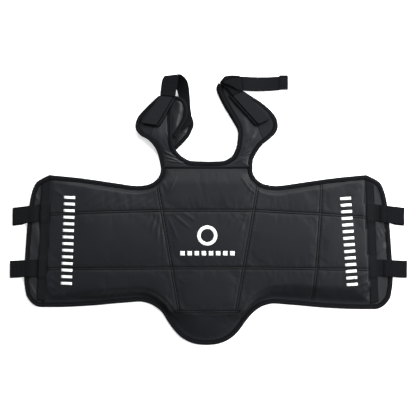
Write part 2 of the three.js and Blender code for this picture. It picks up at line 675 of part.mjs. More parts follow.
// Where the body's own edge runs under the webbing
function bodyEdge(side, y) {
  const edge = pad.upper[side.sign < 0 ? 0 : body.length - 1];
  const k = THREE.MathUtils.clamp(edge.findIndex((p) => p.y > y), 1, edge.length - 1);
  const [p, q] = [edge[k - 1], edge[k]];
  return Math.abs(lerp(p.x, q.x, THREE.MathUtils.clamp((y - p.y) / (q.y - p.y), 0, 1)));
}

function sideFlap(side) {
  const outline = flapOutline(side);
  const turn = -side.sign;
  const normals = inward(outline, turn);
  const rows = outline.map((p, i) => {
    const nose = p.clone().addScaledVector(normals[i], BINDING_NOSE);
    const inner = p.clone().addScaledVector(normals[i], BINDING + GAP);
    const lineX = side.sign * (bodyEdge(side, inner.y) + GAP);
    const lineY = THREE.MathUtils.clamp(inner.y, BINDING_NOSE - side.hemDown, CORNER_UP - BINDING_NOSE);
    const seam = v3(lineX, lineY, RIM);
    if ((inner.x - seam.x) * side.sign < GAP) inner.x = seam.x + side.sign * GAP;
    if ((nose.x - inner.x) * side.sign < GAP) nose.x = inner.x + side.sign * GAP;
    return [seam, inner, nose];
  });
  const level = (height) => rows.map((row) => raised(row, height));
  sheet(`${side.name}_side_flap`, level(LEATHER / 2), level(-LEATHER / 2), leather());
  binding(`${side.name}_flap_binding`, outline, turn);
}

// The webbing lies on the seam between body and flap and steps over the strap ends under it
function sideWebbing(side) {
  const top = CORNER_UP - BINDING - 1.5;
  const foot = -side.hemDown + BINDING + 1.5;
  const stops = [{ y: top, up: 0 }];
  SIDE_STRAPS.forEach((strap) => {
    const half = SIDE_STRAP_WIDTH / 2;
    const step = [[half + 6, 0], [half + 1, 1], [-half - 1, 1], [-half - 6, 0]];
    step.forEach(([dy, up]) => stops.push({ y: strap.at + dy, up }));
  });
  stops.push({ y: foot, up: 0 });
  const stations = stops.map(({ y, up }, i) => {
    const x = sideLine(side, y) - lerp(WEBBING_OVER, WEBBING_OVER_FOOT, downShare(side, y));
    const z = RIM_TOP + GAP + ELASTIC / 2 + up * (ELASTIC + GAP);
    const slant = i === 0 ? -9 : i === stops.length - 1 ? 5 : 0;
    return { a: v3(side.sign * x, y, z), b: v3(side.sign * (x + WEBBING_WIDTH), y + slant, z) };
  });
  ribbon(`${side.name}_side_webbing`, stations, ELASTIC, tape());
}

const flapReach = (side, y) => {
  const outline = flapOutline(side);
  const k = outline.findIndex((p) => p.y < y);
  const [p, q] = [outline[k - 1], outline[k]];
  return Math.abs(lerp(p.x, q.x, (p.y - y) / (p.y - q.y)));
};

// A side strap: over the flap and its binding, round the loop and back to where its end is sewn
function sideStrap(side, strap) {
  const half = SIDE_STRAP_WIDTH / 2;
  const reaches = [strap.at + half, strap.at - half - strap.droop].map((y) => flapReach(side, y));
  const edge = Math.max(...reaches) + 0.6;
  const end = side.flapOut + strap.reach - 2;
  const start = sideLine(side, strap.at) + 2;
  const flat = RIM_TOP + GAP + ELASTIC / 2;
  const back = 2 * BINDING_HALF + GAP + ELASTIC / 2;
  const front = back + ELASTIC + GAP;
  const low = front - ELASTIC - LOOP_CLEAR;
  const radius = (front - low) / 2;
  const turn = [60, 30, 0, -30, -60].map((deg) => {
    const angle = THREE.MathUtils.degToRad(deg);
    return [end - radius + radius * Math.cos(angle), low + radius + radius * Math.sin(angle)];
  });
  const path = [
    [start, flat],
    [edge - LOOP_SEWN - 13, flat],
    [edge - LOOP_SEWN - 2, front],
    [end - radius, front],
    ...turn,
    [end - radius, low],
    [edge + 8, low],
    [edge + 4, low + 1.4],
    [edge + 1.6, back - 1.2],
    [edge - 1.5, back],
    [edge - LOOP_SEWN, back],
  ];
  const stations = path.map(([x, z]) => {
    const y = strap.at - (strap.droop * (x - start)) / (end - start);
    return { a: v3(side.sign * x, y - half, z), b: v3(side.sign * x, y + half, z) };
  });
  ribbon(`${side.name}_${strap.name}_side_strap`, stations, ELASTIC, elastic());
}

sheet("chest_panel", pad.upper, pad.lower, leather());
sheet("shoulder_yoke", yoke.upper, yoke.lower, leather());
binding("hem_binding", hemOutline, 1);
binding("neck_binding", neckOutline, -1);
leftLeaf("lower", RIM);
leftLeaf("upper", RIM + STACK + ELASTIC + GAP);
rightLeaf();
for (const side of SIDES) {
  binding(`${side.name}_armhole_binding`, armholeOutline(side), side.sign);
  sideFlap(side);
  sideWebbing(side);
  SIDE_STRAPS.forEach((strap) => sideStrap(side, strap));
  loopPatch(side.name);
  tab(`${side.name}_hook_pad`, side.name, padBottom(side.name), TAB_THICK, 1.5, pile());
  tab(`${side.name}_hook_tab`, side.name, tabBottom(side.name), ELASTIC, 0.5, elastic());
}
shoulderStrap("left");
endTab(shoulderStrap("right"));

// The frame's origin is the middle of the underside
const bounds = new THREE.Box3().setFromObject(group);
const centre = bounds.getCenter(new THREE.Vector3());
group.position.set(-centre.x, -centre.y, -bounds.min.z);

export default group;
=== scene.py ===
"""Padded chest protector, lying flat with its front up."""
import math
import random

import bmesh
import bpy
import numpy as np
from mathutils import Matrix, Vector
from mathutils.bvhtree import BVHTree


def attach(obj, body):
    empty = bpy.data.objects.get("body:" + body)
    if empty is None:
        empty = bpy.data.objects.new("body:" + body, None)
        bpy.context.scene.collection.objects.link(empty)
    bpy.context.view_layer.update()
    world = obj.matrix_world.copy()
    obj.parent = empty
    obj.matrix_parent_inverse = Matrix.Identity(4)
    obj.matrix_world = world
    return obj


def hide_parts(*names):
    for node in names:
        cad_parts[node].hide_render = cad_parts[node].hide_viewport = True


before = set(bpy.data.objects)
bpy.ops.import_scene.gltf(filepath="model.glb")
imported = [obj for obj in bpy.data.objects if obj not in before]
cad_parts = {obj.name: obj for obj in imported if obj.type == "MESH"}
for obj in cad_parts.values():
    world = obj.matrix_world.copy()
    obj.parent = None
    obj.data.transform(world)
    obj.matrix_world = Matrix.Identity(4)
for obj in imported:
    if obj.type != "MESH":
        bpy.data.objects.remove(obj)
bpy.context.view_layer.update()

# Sizes in millimetres, from the chest's middle line and the level of the upper side straps
MIDDLE_X = -4.0
LEVEL_Y = 0.9
CHEST_HALF = 102.5
CORNER_UP = 77
SEAM_UP = 92.5
LOBE_HALF = 100
LOBE_DOWN = 303
SIDE_OUT = 351
HEM_SPREAD = 18
HEM_DOWN = 218.5
FLAP_WIDTH = 57
PAD_TOP = 21.5
FOAM_RISE = 15
LEATHER = 2.2
TAPE = 1.1
GAP = 0.4
BINDING = 11
BINDING_NOSE = 3
WEBBING_WIDTH = 19
ELASTIC = 1.6
SIDE_STRAP_WIDTH = 38
LOOP_CLEAR = 5.2
LOOP_SEWN = 12
WING_OUT = 160
WING_RISE = 160
WING_PUFF = 2.4
TAB_THICK = 2
BACK_PEEK = 4.5
PATCH = 1.2
LOOP_STAND = 24
BINDING_HALF = LEATHER / 2 + GAP + TAPE
RIM = BINDING_HALF
RIM_TOP = RIM + LEATHER / 2
STACK = 2 * BINDING_HALF + GAP
LIFT = {"left": 2 * STACK + ELASTIC + GAP, "right": STACK}
LIFTED_TO = {"left": 0.46, "right": 0.38}

COVER_WALL = 2.0
SEAM_HALF = 2.3
SEAM_NEAR = 10.0
RIGHT_MORE = 5
BODY_MIDDLE = 3
PER_SPAN = 8

# The picture: millimetres to a pixel, and the pixel that the body is measured from
PIXEL = 2.235
PICTURE_X = 208
PICTURE_Y = 209.4

# Left and right as in the picture
SIDES = {
    "left": {"sign": -1, "corner": SIDE_OUT, "hem": SIDE_OUT + HEM_SPREAD,
             "down": HEM_DOWN, "flap": SIDE_OUT + FLAP_WIDTH},
    "right": {"sign": 1, "corner": SIDE_OUT + RIGHT_MORE, "hem": SIDE_OUT + RIGHT_MORE + HEM_SPREAD,
              "down": HEM_DOWN + 4.5, "flap": SIDE_OUT + RIGHT_MORE + FLAP_WIDTH + 3},
}

SIDE_STRAPS = {
    "upper": {"at": -6, "droop": 9, "reach": 27, "peek": 3},
    "lower": {"at": -130, "droop": 3.5, "reach": 33, "peek": 1},
}

# Share from the armhole's corner to the side's corner, and share of CORNER_UP
TOP_EDGE = [
    (1, 1), (0.714, 0.908), (0.44, 0.78), (0.264, 0.697), (0.185, 0.688),
    (0.103, 0.735), (0.046, 0.842), (0.016, 0.965), (0.002, 1.08), (0, 1.2),
]

# Share from the lobe's root to the hem corner, and share of the hem's depth
HEM_EDGE = [
    (1, 1), (0.8, 0.998), (0.57, 0.983), (0.4, 0.964), (0.26, 0.95),
    (0.18, 0.944), (0.11, 0.961), (0.055, 0.995), (0, 1.052),
]

# Shares of LOBE_HALF and LOBE_DOWN
LOBE_EDGE = [
    (0.87, 0.826), (0.735, 0.888), (0.6, 0.935), (0.47, 0.964),
    (0.335, 0.984), (0.2, 0.995), (0, 1),
]

# Share from the top corner to the flap's widest point, and share of its height
FLAP_EDGE = [
    (0.0, 0.0), (0.1, 0.008), (0.36, 0.034), (0.53, 0.06), (0.64, 0.1), (0.72, 0.15),
    (0.78, 0.21), (0.83, 0.28), (0.9, 0.43), (0.965, 0.61), (0.99, 0.7), (1, 0.79),
    (0.967, 0.855), (0.9, 0.915), (0.72, 0.965), (0.54, 0.99), (0.41, 0.998), (0.3, 1.0),
]

# Wing sections: neck edge and armhole edge, as shares of WING_OUT and, above the yoke seam,
# of WING_RISE
WING_SECTIONS = {
    "left": [
        (0.225, 0.103, 0.3, 0), (0.31, 0.142, 0.49, 0), (0.365, 0.178, 0.64, 0),
        (0.413, 0.231, 0.66, 0.106), (0.45, 0.294, 0.68, 0.1875), (0.473, 0.394, 0.725, 0.2875),
        (0.478, 0.5, 0.812, 0.3875), (0.48, 0.587, 0.915, 0.447), (0.48, 0.662, 0.982, 0.525),
        (0.48, 0.737, 0.99, 0.6125), (0.48, 0.812, 0.955, 0.7125), (0.484, 0.887, 0.87, 0.8125),
        (0.488, 0.95, 0.77, 0.9125), (0.494, 1, 0.665, 1.01),
    ],
    "right": [
        (0.225, 0.1, 0.3, 0), (0.31, 0.135, 0.49, 0), (0.361, 0.175, 0.64, 0),
        (0.394, 0.2375, 0.646, 0.1), (0.419, 0.3125, 0.672, 0.169), (0.43, 0.3875, 0.72, 0.25),
        (0.4375, 0.475, 0.7875, 0.331), (0.435, 0.544, 0.887, 0.4125),
        (0.4125, 0.606, 0.9625, 0.49),
        (0.375, 0.675, 0.994, 0.581), (0.331, 0.75, 0.972, 0.694), (0.281, 0.831, 0.8875, 0.806),
        (0.2375, 0.9125, 0.756, 0.919), (0.195, 1, 0.606, 1.0125), (0.168, 1.07, 0.494, 1.085),
        (0.165, 1.13, 0.38, 1.15), (0.192, 1.187, 0.28, 1.197),
    ],
}

# Back leaves of the left shoulder: bound edge and hidden edge
LEAF_SECTIONS = {
    "lower": [
        (0.465, 0.215, 0.5, 0.3), (0.41, 0.265, 0.53, 0.34), (0.35, 0.322, 0.56, 0.37),
        (0.29, 0.387, 0.6, 0.43),
        (0.245, 0.444, 0.62, 0.49), (0.212, 0.512, 0.63, 0.56), (0.18, 0.6, 0.63, 0.65),
        (0.195, 0.69, 0.62, 0.73), (0.24, 0.775, 0.6, 0.8), (0.32, 0.84, 0.55, 0.86),
    ],
    "upper": [
        (0.44, 0.42, 0.58, 0.45), (0.385, 0.5, 0.6, 0.51), (0.335, 0.585, 0.61, 0.6),
        (0.29, 0.665, 0.61, 0.7), (0.266, 0.755, 0.6, 0.8), (0.266, 0.85, 0.58, 0.88),
        (0.3, 0.937, 0.55, 0.92), (0.36, 0.985, 0.52, 0.95), (0.43, 1.004, 0.51, 0.94),
        (0.485, 0.996, 0.5, 0.93),
    ],
}

# Shoulder straps: two edges, each with its place and its lift above the strap's level on the tab
STRAP_SECTIONS = {
    "left": [
        (0.648, 1.018, 0.085, 0.436, 0.992, 0.085), (0.642, 1.07, 0.09, 0.424, 1.06, 0.09),
        (0.624, 1.2, 0.2, 0.404, 1.2, 0.24), (0.597, 1.264, 0.2, 0.396, 1.28, 0.36),
        (0.56, 1.276, 0.02, 0.365, 1.298, 0.34), (0.5, 1.258, -0.3, 0.32, 1.272, 0.2),
        (0.455, 1.2, -0.55, 0.272, 1.218, 0), (0.42, 1.1, -0.72, 0.245, 1.12, -0.25),
        (0.39, 0.98, -0.76, 0.235, 1, -0.5), (0.37, 0.84, -0.76, 0.226, 0.85, -0.72),
        (0.368, 0.74, -0.76, 0.21, 0.73, -0.76), (0.385, 0.6, -0.76, 0.205, 0.66, -0.76),
        (0.405, 0.5, -0.76, 0.215, 0.6, -0.76),
    ],
    "right": [
        (0.35, 1.016, 0.085, 0.49, 1.08, 0.085), (0.32, 1.07, 0.09, 0.46, 1.13, 0.09),
        (0.25, 1.135, 0.08, 0.36, 1.2, 0.07), (0.2, 1.165, 0.12, 0.25, 1.245, 0.09),
        (0.185, 1.19, 0.22, 0.262, 1.276, 0.2), (0.225, 1.185, 0.34, 0.34, 1.288, 0.3),
        (0.34, 1.14, 0.34, 0.44, 1.283, 0.3), (0.43, 1.088, 0.24, 0.47, 1.274, 0.2),
        (0.55, 1.07, 0.1, 0.56, 1.27, 0.04), (0.7, 1.066, -0.25, 0.7, 1.266, -0.3),
        (0.84, 1.07, -0.5, 0.84, 1.268, -0.52), (1.02, 1.083, -0.64, 1.02, 1.278, -0.64),
    ],
}

# Hook tabs: the two corners of the top edge, then those of the foot
TAB_CORNERS = {
    "left": [(0.636, 1.03), (0.452, 1.013), (0.911, 0.626), (0.702, 0.592)],
    "right": [(0.345, 1.026), (0.487, 1.094), (0.727, 0.604), (0.886, 0.684)],
}

# Quilting seams in the picture's pixels
QUILT_SEAMS = {
    "upper": [(44, 214.8), (100, 212.2), (160, 210.6), (208, 210.3), (253.8, 210.6),
              (310, 213.5), (372, 217.8)],
    "lower": [(40, 269), (170, 268), (245, 268), (376, 269.6)],
    "left_diagonal": [(156.6, 180), (178.9, 311)],
    "right_diagonal": [(258.8, 180), (236.2, 311)],
    "right_upright": [(321.6, 176), (320, 215), (316, 270), (312, 304)],
}
FOOT_SEAM = [(164, 311.4), (208, 312), (251, 311.4)]

# Top edge of the foam, in the picture's pixels, clockwise from the upper left corner
FOAM_EDGE = [
    (53, 184), (85, 187.5), (110, 191.5), (136, 195), (148, 193), (158, 187), (166, 180),
    (175, 176.2),
    (208, 175.8), (236, 175.6), (245, 179), (254, 187), (263, 194), (276, 196.5), (300, 193),
    (330, 189),
    (364, 184.5), (368.5, 235), (370.5, 286), (340, 284.5), (310, 283.5), (287, 283), (268, 285.5),
    (256, 292), (247, 302), (240, 311), (208, 312.5), (176, 311), (168.5, 302), (159, 293),
    (147, 287.2),
    (128, 286.5), (100, 288.5), (78, 290), (48, 289), (50, 235),
]


def spot(x, y, z=0.0):
    """A point of the frame, in metres, from millimetres on the body."""
    return Vector(((x + MIDDLE_X) * 0.001, (y + LEVEL_Y) * 0.001, z * 0.001))


def seen(px, py):
    """Millimetres on the body from the picture's pixels."""
    return ((px - PICTURE_X) * PIXEL + BODY_MIDDLE, (PICTURE_Y - py) * PIXEL)


def traced(points):
    """Millimetres on the body from a line in the picture's pixels."""
    return np.array([seen(*p) for p in points])


def spline(points, per_span):
    """Points of a soft curve through the given ones, the same number in each span."""
    p = np.array(points, float)
    p = np.vstack([2 * p[0] - p[1], p, 2 * p[-1] - p[-2]])
    found = []
    for a, b, c, d in zip(p[:-3], p[1:-2], p[2:-1], p[3:]):
        for t in np.arange(per_span) / per_span:
            found.append(0.5 * (2 * b + (c - a) * t + (2 * a - 5 * b + 4 * c - d) * t**2
                                + (3 * b - a - 3 * c + d) * t**3))
    return np.array(found + [p[-2]])


def even(points, step):
    """Points at an even step along a line."""
    p = np.array(points, float)
    run = np.concatenate([[0], np.cumsum(np.linalg.norm(np.diff(p, axis=0), axis=1))])
    count = max(int(round(run[-1] / step)), 1)
    at = np.linspace(0, run[-1], count + 1)
    return np.stack([np.interp(at, run, p[:, k]) for k in range(p.shape[1])], axis=1)


def closed(loop):
    """A loop with its first point once more at its end."""
    return np.vstack([loop, loop[:1]])


def at_height(line, z):
    """A flat line of points, all at one height."""
    return np.column_stack([line, np.full(len(line), z)])


def smoothstep(low, high, x):
    """A soft step from 0 to 1 between two values."""
    t = np.clip((x - low) / (high - low), 0, 1)
    return t * t * (3 - 2 * t)


def distance_to(points, line):
    """Distance of each point to a line of points."""
    line = np.array(line, float)
    best = np.full(len(points), 1e9)
    for a, b in zip(line[:-1], line[1:]):
        ab = b - a
        length = np.linalg.norm(ab) + 1e-12
        t = np.clip(((points - a) @ ab) / length**2, 0, 1)
        best = np.minimum(best, np.linalg.norm(points - a - t[:, None] * ab, axis=1))
    return best


def inside(points, loop):
    """Which points lie inside a closed loop."""
    loop = np.array(loop, float)
    found = np.zeros(len(points), bool)
    for a, b in zip(loop, np.roll(loop, -1, axis=0)):
        crosses = (a[1] > points[:, 1]) != (b[1] > points[:, 1])
        at = a[0] + (points[:, 1] - a[1]) / (b[1] - a[1] + 1e-12) * (b[0] - a[0])
        found ^= crosses & (points[:, 0] < at)
    return found


def sideways(line):
    """Unit vectors to the left of a flat line, at each of its points."""
    line = np.array(line, float)[:, :2]
    ahead = np.gradient(line, axis=0)
    across = np.stack([-ahead[:, 1], ahead[:, 0]], axis=1)
    return across / (np.linalg.norm(across, axis=1)[:, None] + 1e-12)


def waves(x, y, scale, seed):
    """Soft irregular waves between about -1 and 1."""
    rng = random.Random(seed)
    total = np.zeros_like(np.asarray(x, float))
    for k in range(5):
        turn = rng.uniform(0, math.tau)
        size = scale * (0.6 + 0.25 * k)
        phase = (x * math.cos(turn) + y * math.sin(turn)) * math.tau / size
        total += np.sin(phase + rng.uniform(0, math.tau))
    return total / 3


def side_line(side, y):
    """How far out the line between the body and a flap is at a height."""
    share = (CORNER_UP - y) / (CORNER_UP + side["down"])
    return side["corner"] + (side["hem"] - side["corner"]) * share


def top_line(name):
    """Upper edge of one side, from its corner to the yoke seam."""
    side = SIDES[name]
    span = side["corner"] - CHEST_HALF
    knots = [(side["sign"] * (CHEST_HALF + span * out), CORNER_UP * up) for out, up in TOP_EDGE]
    return spline(knots, PER_SPAN)


def hem_line():
    """The whole lower edge, from the left corner round the lobe to the right one."""
    halves = {}
    for name, side in SIDES.items():
        span = side["hem"] - LOBE_HALF
        sign, depth = side["sign"], side["down"]
        knots = [(sign * (LOBE_HALF + span * out), -depth * down) for out, down in HEM_EDGE]
        knots += [(sign * LOBE_HALF * out, -LOBE_DOWN * down) for out, down in LOBE_EDGE]
        halves[name] = knots
    return spline(halves["left"] + halves["right"][-2::-1], PER_SPAN)


def body_loop(bound, seam, side, low=None):
    """The body's outline, drawn in at its bound edges, the yoke seam and the flaps.

    The hem may have a draw of its own."""
    left, right, hem = top_line("left"), top_line("right"), hem_line()
    left_in = left - sideways(left) * bound
    right_in = right + sideways(right) * bound
    hem_in = hem + sideways(hem) * (bound if low is None else low)
    half = CHEST_HALF - bound
    top = [(-half, SEAM_UP - seam), (half, SEAM_UP - seam)]
    below = left_in[:, 1] < SEAM_UP - seam
    left_in = left_in[below & (left_in[:, 0] > -SIDE_OUT + side)]
    below = right_in[:, 1] < SEAM_UP - seam
    right_in = right_in[below & (right_in[:, 0] < SIDE_OUT + RIGHT_MORE - side)]
    edges = {}
    for name, s in SIDES.items():
        heights = np.linspace(CORNER_UP - bound - 1.5, -s["down"] + bound, 12)
        edges[name] = np.array([(s["sign"] * (side_line(s, y) - side), y) for y in heights])
    start, end = edges["left"][-1][0] + 2, edges["right"][-1][0] - 2
    hem_in = hem_in[(hem_in[:, 0] > start) & (hem_in[:, 0] < end)]
    return np.vstack([
        left_in, top, right_in[::-1], edges["right"], hem_in[::-1], edges["left"][::-1],
    ])


quilt = {name: traced(line) for name, line in QUILT_SEAMS.items()}
quilt["foot"] = traced(FOOT_SEAM)
foam = even(spline(traced(FOAM_EDGE + FOAM_EDGE[:1]), 4), 6)[:-1]

# Where the cover leaves the edge tapes and rises over the foam
rim = body_loop(10.5, 1.2, 6, 12.5)


def off_quilting(points):
    """Distance of each point to the nearest quilting seam."""
    return np.min([distance_to(points, line) for line in quilt.values()], axis=0)


def pad_height(points):
    """How high the quilted pad stands at each point of the body."""
    within = inside(points, foam)
    to_rim = distance_to(points, closed(rim)) * inside(points, rim)
    off_foam = distance_to(points, closed(foam))
    share = to_rim / (to_rim + off_foam * ~within + 1e-6)
    low = 1 - smoothstep(-165, -120, points[:, 1])
    lobe = 1 - smoothstep(-236, -226, points[:, 1])
    crest = np.sin(share * math.pi / 2) ** 0.9
    swell = crest + (share**2 * (3 - 2 * share) - crest) * low
    swell += (share**1.25 - swell) * lobe
    crown = 1 - (1 - np.clip(off_foam * within / 90, 0, 1)) ** 2
    rise = FOAM_RISE * (1 - 0.55 * smoothstep(-90, 75, points[:, 1]))
    flatter = np.where(points[:, 0] < 0, 0.7, 0.35)
    rise *= 1 - flatter * smoothstep(230, 345, np.abs(points[:, 0]))
    flatter = np.where(points[:, 0] < -100, 0.72, 0.62)
    rise *= 1 - flatter * smoothstep(55, 88, points[:, 1])
    height = RIM_TOP + rise * swell + (PAD_TOP - RIM_TOP - FOAM_RISE) * crown
    for line in quilt.values():
        away = distance_to(points, line)
        dip = 0.9 * (1 - smoothstep(2.2, 6.5, away))
        height = np.maximum(height - dip * np.clip((height - RIM_TOP) / 8, 0, 1), RIM_TOP)
    return height


def folded(points, strokes):
    """Rise of the surface from a table of folds: two ends, half width and height."""
    rise = np.zeros(len(points))
    for x0, y0, x1, y1, wide, high in strokes:
        line = np.array([(x0, y0), (x1, y1)])
        length = np.linalg.norm(line[1] - line[0])
        near = np.linalg.norm(points - line.mean(0), axis=1) < length / 2 + wide * 4
        ab = (line[1] - line[0]) / length
        rel = points[near] - line[0]
        t = rel @ ab / length
        across = rel @ np.array([-ab[1], ab[0]])
        ends = smoothstep(-0.15, 0.3, t) * (1 - smoothstep(0.7, 1.15, t))
        rise[near] += high * np.exp(-(across / wide) ** 2) * ends
    return rise


def mesh_from(name, bm):
    """A mesh with the faces of a bmesh, which is freed."""
    mesh = bpy.data.meshes.new(name)
    bm.to_mesh(mesh)
    bm.free()
    return mesh


def grid_mesh(name, places, ring=False, caps=False):
    """A mesh through rows of points in millimetres.

    A ring closes on itself across, and caps close its two ends."""
    places = np.asarray(places, float)
    rows, columns = places.shape[:2]
    bm = bmesh.new()
    bmesh.ops.create_grid(bm, x_segments=columns - 1, y_segments=rows - 1, size=1)
    along = np.zeros((rows, columns))
    across = np.zeros((rows, columns))
    along[1:] = np.cumsum(np.linalg.norm(np.diff(places.mean(1), axis=0), axis=1))[:, None]
    across[:, 1:] = np.cumsum(np.linalg.norm(np.diff(places, axis=1), axis=2), axis=1)
    layer = bm.loops.layers.uv.new("UVMap")
    where = {}
    for v in bm.verts:
        row, column = (v.co.y + 1) / 2 * (rows - 1), (v.co.x + 1) / 2 * (columns - 1)
        where[v] = (round(row), round(column))
    for face in bm.faces:
        for loop in face.loops:
            i, j = where[loop.vert]
            loop[layer].uv = (across[i, j] * 0.001, along[i, j] * 0.001)
    for v, (i, j) in where.items():
        v.co = spot(*places[i, j])
    if ring:
        bmesh.ops.remove_doubles(bm, verts=bm.verts, dist=1e-6)
    if caps:
        bmesh.ops.holes_fill(bm, edges=[e for e in bm.edges if e.is_boundary], sides=0)
    if ring:
        bmesh.ops.recalc_face_normals(bm, faces=bm.faces)
    else:
        bm.normal_update()
        up = sum(f.normal.z * f.calc_area() for f in bm.faces)
        if up < 0:
            bmesh.ops.reverse_faces(bm, faces=bm.faces)
    return mesh_from(name, bm)


def placed(name, data):
    """An object of the scene with this mesh, light or camera."""
    obj = bpy.data.objects.new(name, data)
    bpy.context.scene.collection.objects.link(obj)
    return obj


def piece(name, mesh, slot, *nodes, look=None):
    """A finished piece that lies with the body and stands for these solids."""
    mesh.shade_smooth()
    obj = placed(name, mesh)
    mesh.materials.append(finishes[look or slot])
    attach(obj, "root")
    if nodes:
        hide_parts(*nodes)
    return obj


def thicken(obj, thick):
    """Gives a sheet its wall, under the surface that shows."""
    wall = obj.modifiers.new("wall", "SOLIDIFY")
    wall.thickness = thick * 0.001
    wall.offset = -1
    return obj


def rounded(obj):
    """Gives a sheet one level of smooth subdivision."""
    soft = obj.modifiers.new("soft", "SUBSURF")
    soft.levels = 1
    soft.render_levels = 1


def coordinates(mesh):
    """Vertex places of a mesh in millimetres on the body."""
    co = np.empty(len(mesh.vertices) * 3)
    mesh.vertices.foreach_get("co", co)
    co = co.reshape(-1, 3) * 1000
    co[:, 0] -= MIDDLE_X
    co[:, 1] -= LEVEL_Y
    return co


def set_coordinates(mesh, co):
    """Moves a mesh's vertices to places in millimetres on the body."""
    co = co.copy()
    co[:, 0] += MIDDLE_X
    co[:, 1] += LEVEL_Y
    mesh.vertices.foreach_set("co", (co * 0.001).ravel())
    mesh.update()


# Folded edge tape: outline across it, from its upper inner edge round the fold and back inside
TAPE_RING = [
    (11.0, 1.75), (10.9, 2.35), (10.3, 2.62), (9.2, 2.5), (8.7, 2.32), (8.2, 2.5), (7.0, 2.75),
    (5.0, 2.9),
    (3.0, 2.75), (1.4, 2.2), (0.4, 1.2), (0.0, 0.0), (0.4, -1.2), (1.4, -2.1), (3.0, -2.5),
    (6.0, -2.6),
    (11.0, -2.6), (11.0, -1.5), (4.0, -1.5), (2.2, -0.8), (1.6, 0.0), (2.2, 0.8), (4.0, 1.5),
    (10.8, 1.5),
]


def binding(name, line, turn, node, seed, width=1.0):
    """Tape folded over an edge. The line's points carry the height of the leather's middle."""
    step = 3.2
    path = even(line, step)
    across = sideways(path) * turn
    run = np.arange(len(path)) * step
    puff = 1 + 0.06 * waves(run, run * 0, 26, seed)
    wander = 0.35 * waves(run, run * 0, 38, seed + 1)
    rows = []
    for k, (p, n) in enumerate(zip(path, across)):
        rows.append([
            (p[0] + n[0] * (d * (1 - 0.02 * puff[k]) + wander[k] * (d > 2)),
             p[1] + n[1] * (d * (1 - 0.02 * puff[k]) + wander[k] * (d > 2)),
             p[2] + h * (puff[k] if h > 0 else 1))
            for d, h in [(d * width, h) for d, h in TAPE_RING + TAPE_RING[:1]]
        ])
    return piece(name, grid_mesh(name, rows, ring=True, caps=True), "binding_tape", node)


def band(name, edge_a, edge_b, thick, slot, *nodes, wave=0.0, seed=1, across=9):
    """A flat strap or webbing between two edge lines, with rounded selvedges."""
    a, b = np.array(edge_a, float), np.array(edge_b, float)
    ahead = np.gradient((a + b) / 2, axis=0)
    normal = np.cross(ahead, b - a)
    normal /= np.linalg.norm(normal, axis=1)[:, None] + 1e-12
    inner = np.linspace(0.035, 0.965, across)
    top = [(0.0, 0.0), (0.012, 0.7)] + [(t, 1.0) for t in inner] + [(0.988, 0.7), (1.0, 0.0)]
    ring = top + [(t, -h) for t, h in top[-2:0:-1]]
    ring.append(ring[0])
    steps = np.linalg.norm(np.diff((a + b) / 2, axis=0), axis=1)
    run = np.concatenate([[0], np.cumsum(steps)])
    shares = np.array([t for t, _ in ring])
    rows = []
    for k in range(len(a)):
        lift = wave * waves(run[k] + np.zeros(len(ring)), shares * 30, 34, seed)
        rows.append([
            a[k] + (b[k] - a[k]) * t + normal[k] * (h * thick / 2 + up)
            for (t, h), up in zip(ring, lift)
        ])
    return piece(name, grid_mesh(name, rows, ring=True, caps=True), slot, *nodes)


def share_place(wing, x, up):
    """Millimetres on the body from a wing's shares."""
    sign = -1 if wing == "left" else 1
    return (sign * x * WING_OUT, SEAM_UP + up * WING_RISE)


def wing_rim(wing, y):
    """Height of the leather's middle at a wing's bound edge."""
    share = (np.asarray(y, float) - SEAM_UP) / WING_RISE
    return RIM + LIFT[wing] * smoothstep(0.1, LIFTED_TO[wing], share)


def wing_edges(wing, per_span=PER_SPAN):
    """Neck edge and armhole edge of one half of the yoke, from the middle to the tip."""
    rows = WING_SECTIONS[wing]
    near = [share_place(wing, 0, 0.092)] + [share_place(wing, r[0], r[1]) for r in rows]
    far = [share_place(wing, 0, 0)] + [share_place(wing, r[2], r[3]) for r in rows]
    far[3] = (math.copysign(CHEST_HALF, far[3][0]), SEAM_UP)
    near = spline(near, per_span)
    far = np.vstack([spline(far[:4], per_span), spline(far[3:], per_span)[1:]])
    return near, far


def with_rim(wing, line):
    """A wing's edge line with its heights."""
    return np.column_stack([line, wing_rim(wing, line[:, 1])])


def yoke_lines(per_span=PER_SPAN):
    """Neck edge and lower or outer edge of the whole yoke, from the left tip to the right."""
    ln, lf = wing_edges("left", per_span)
    rn, rf = wing_edges("right", per_span)
    near = np.vstack([with_rim("left", ln)[::-1], with_rim("right", rn)[1:]])
    far = np.vstack([with_rim("left", lf)[::-1], with_rim("right", rf)[1:]])
    return near, far


def armhole_line(name):
    """Bound edge from the side's top corner round the armhole and the wing."""
    _, far = wing_edges(name)
    free = with_rim(name, far)[3 * PER_SPAN:]
    low = at_height(top_line(name), RIM)
    low = low[low[:, 1] < SEAM_UP - 1]
    return np.vstack([low, free])


def surface_of(obj):
    """A finished piece's surface, to drop points on."""
    return BVHTree.FromObject(obj, bpy.context.evaluated_depsgraph_get())


def dropped(surface, at):
    """The place on a surface below a point, and the surface's normal there."""
    above = 0.2
    place, normal, _, _ = surface.ray_cast(Vector((at.x, at.y, above)), Vector((0, 0, -1)))
    return place, normal


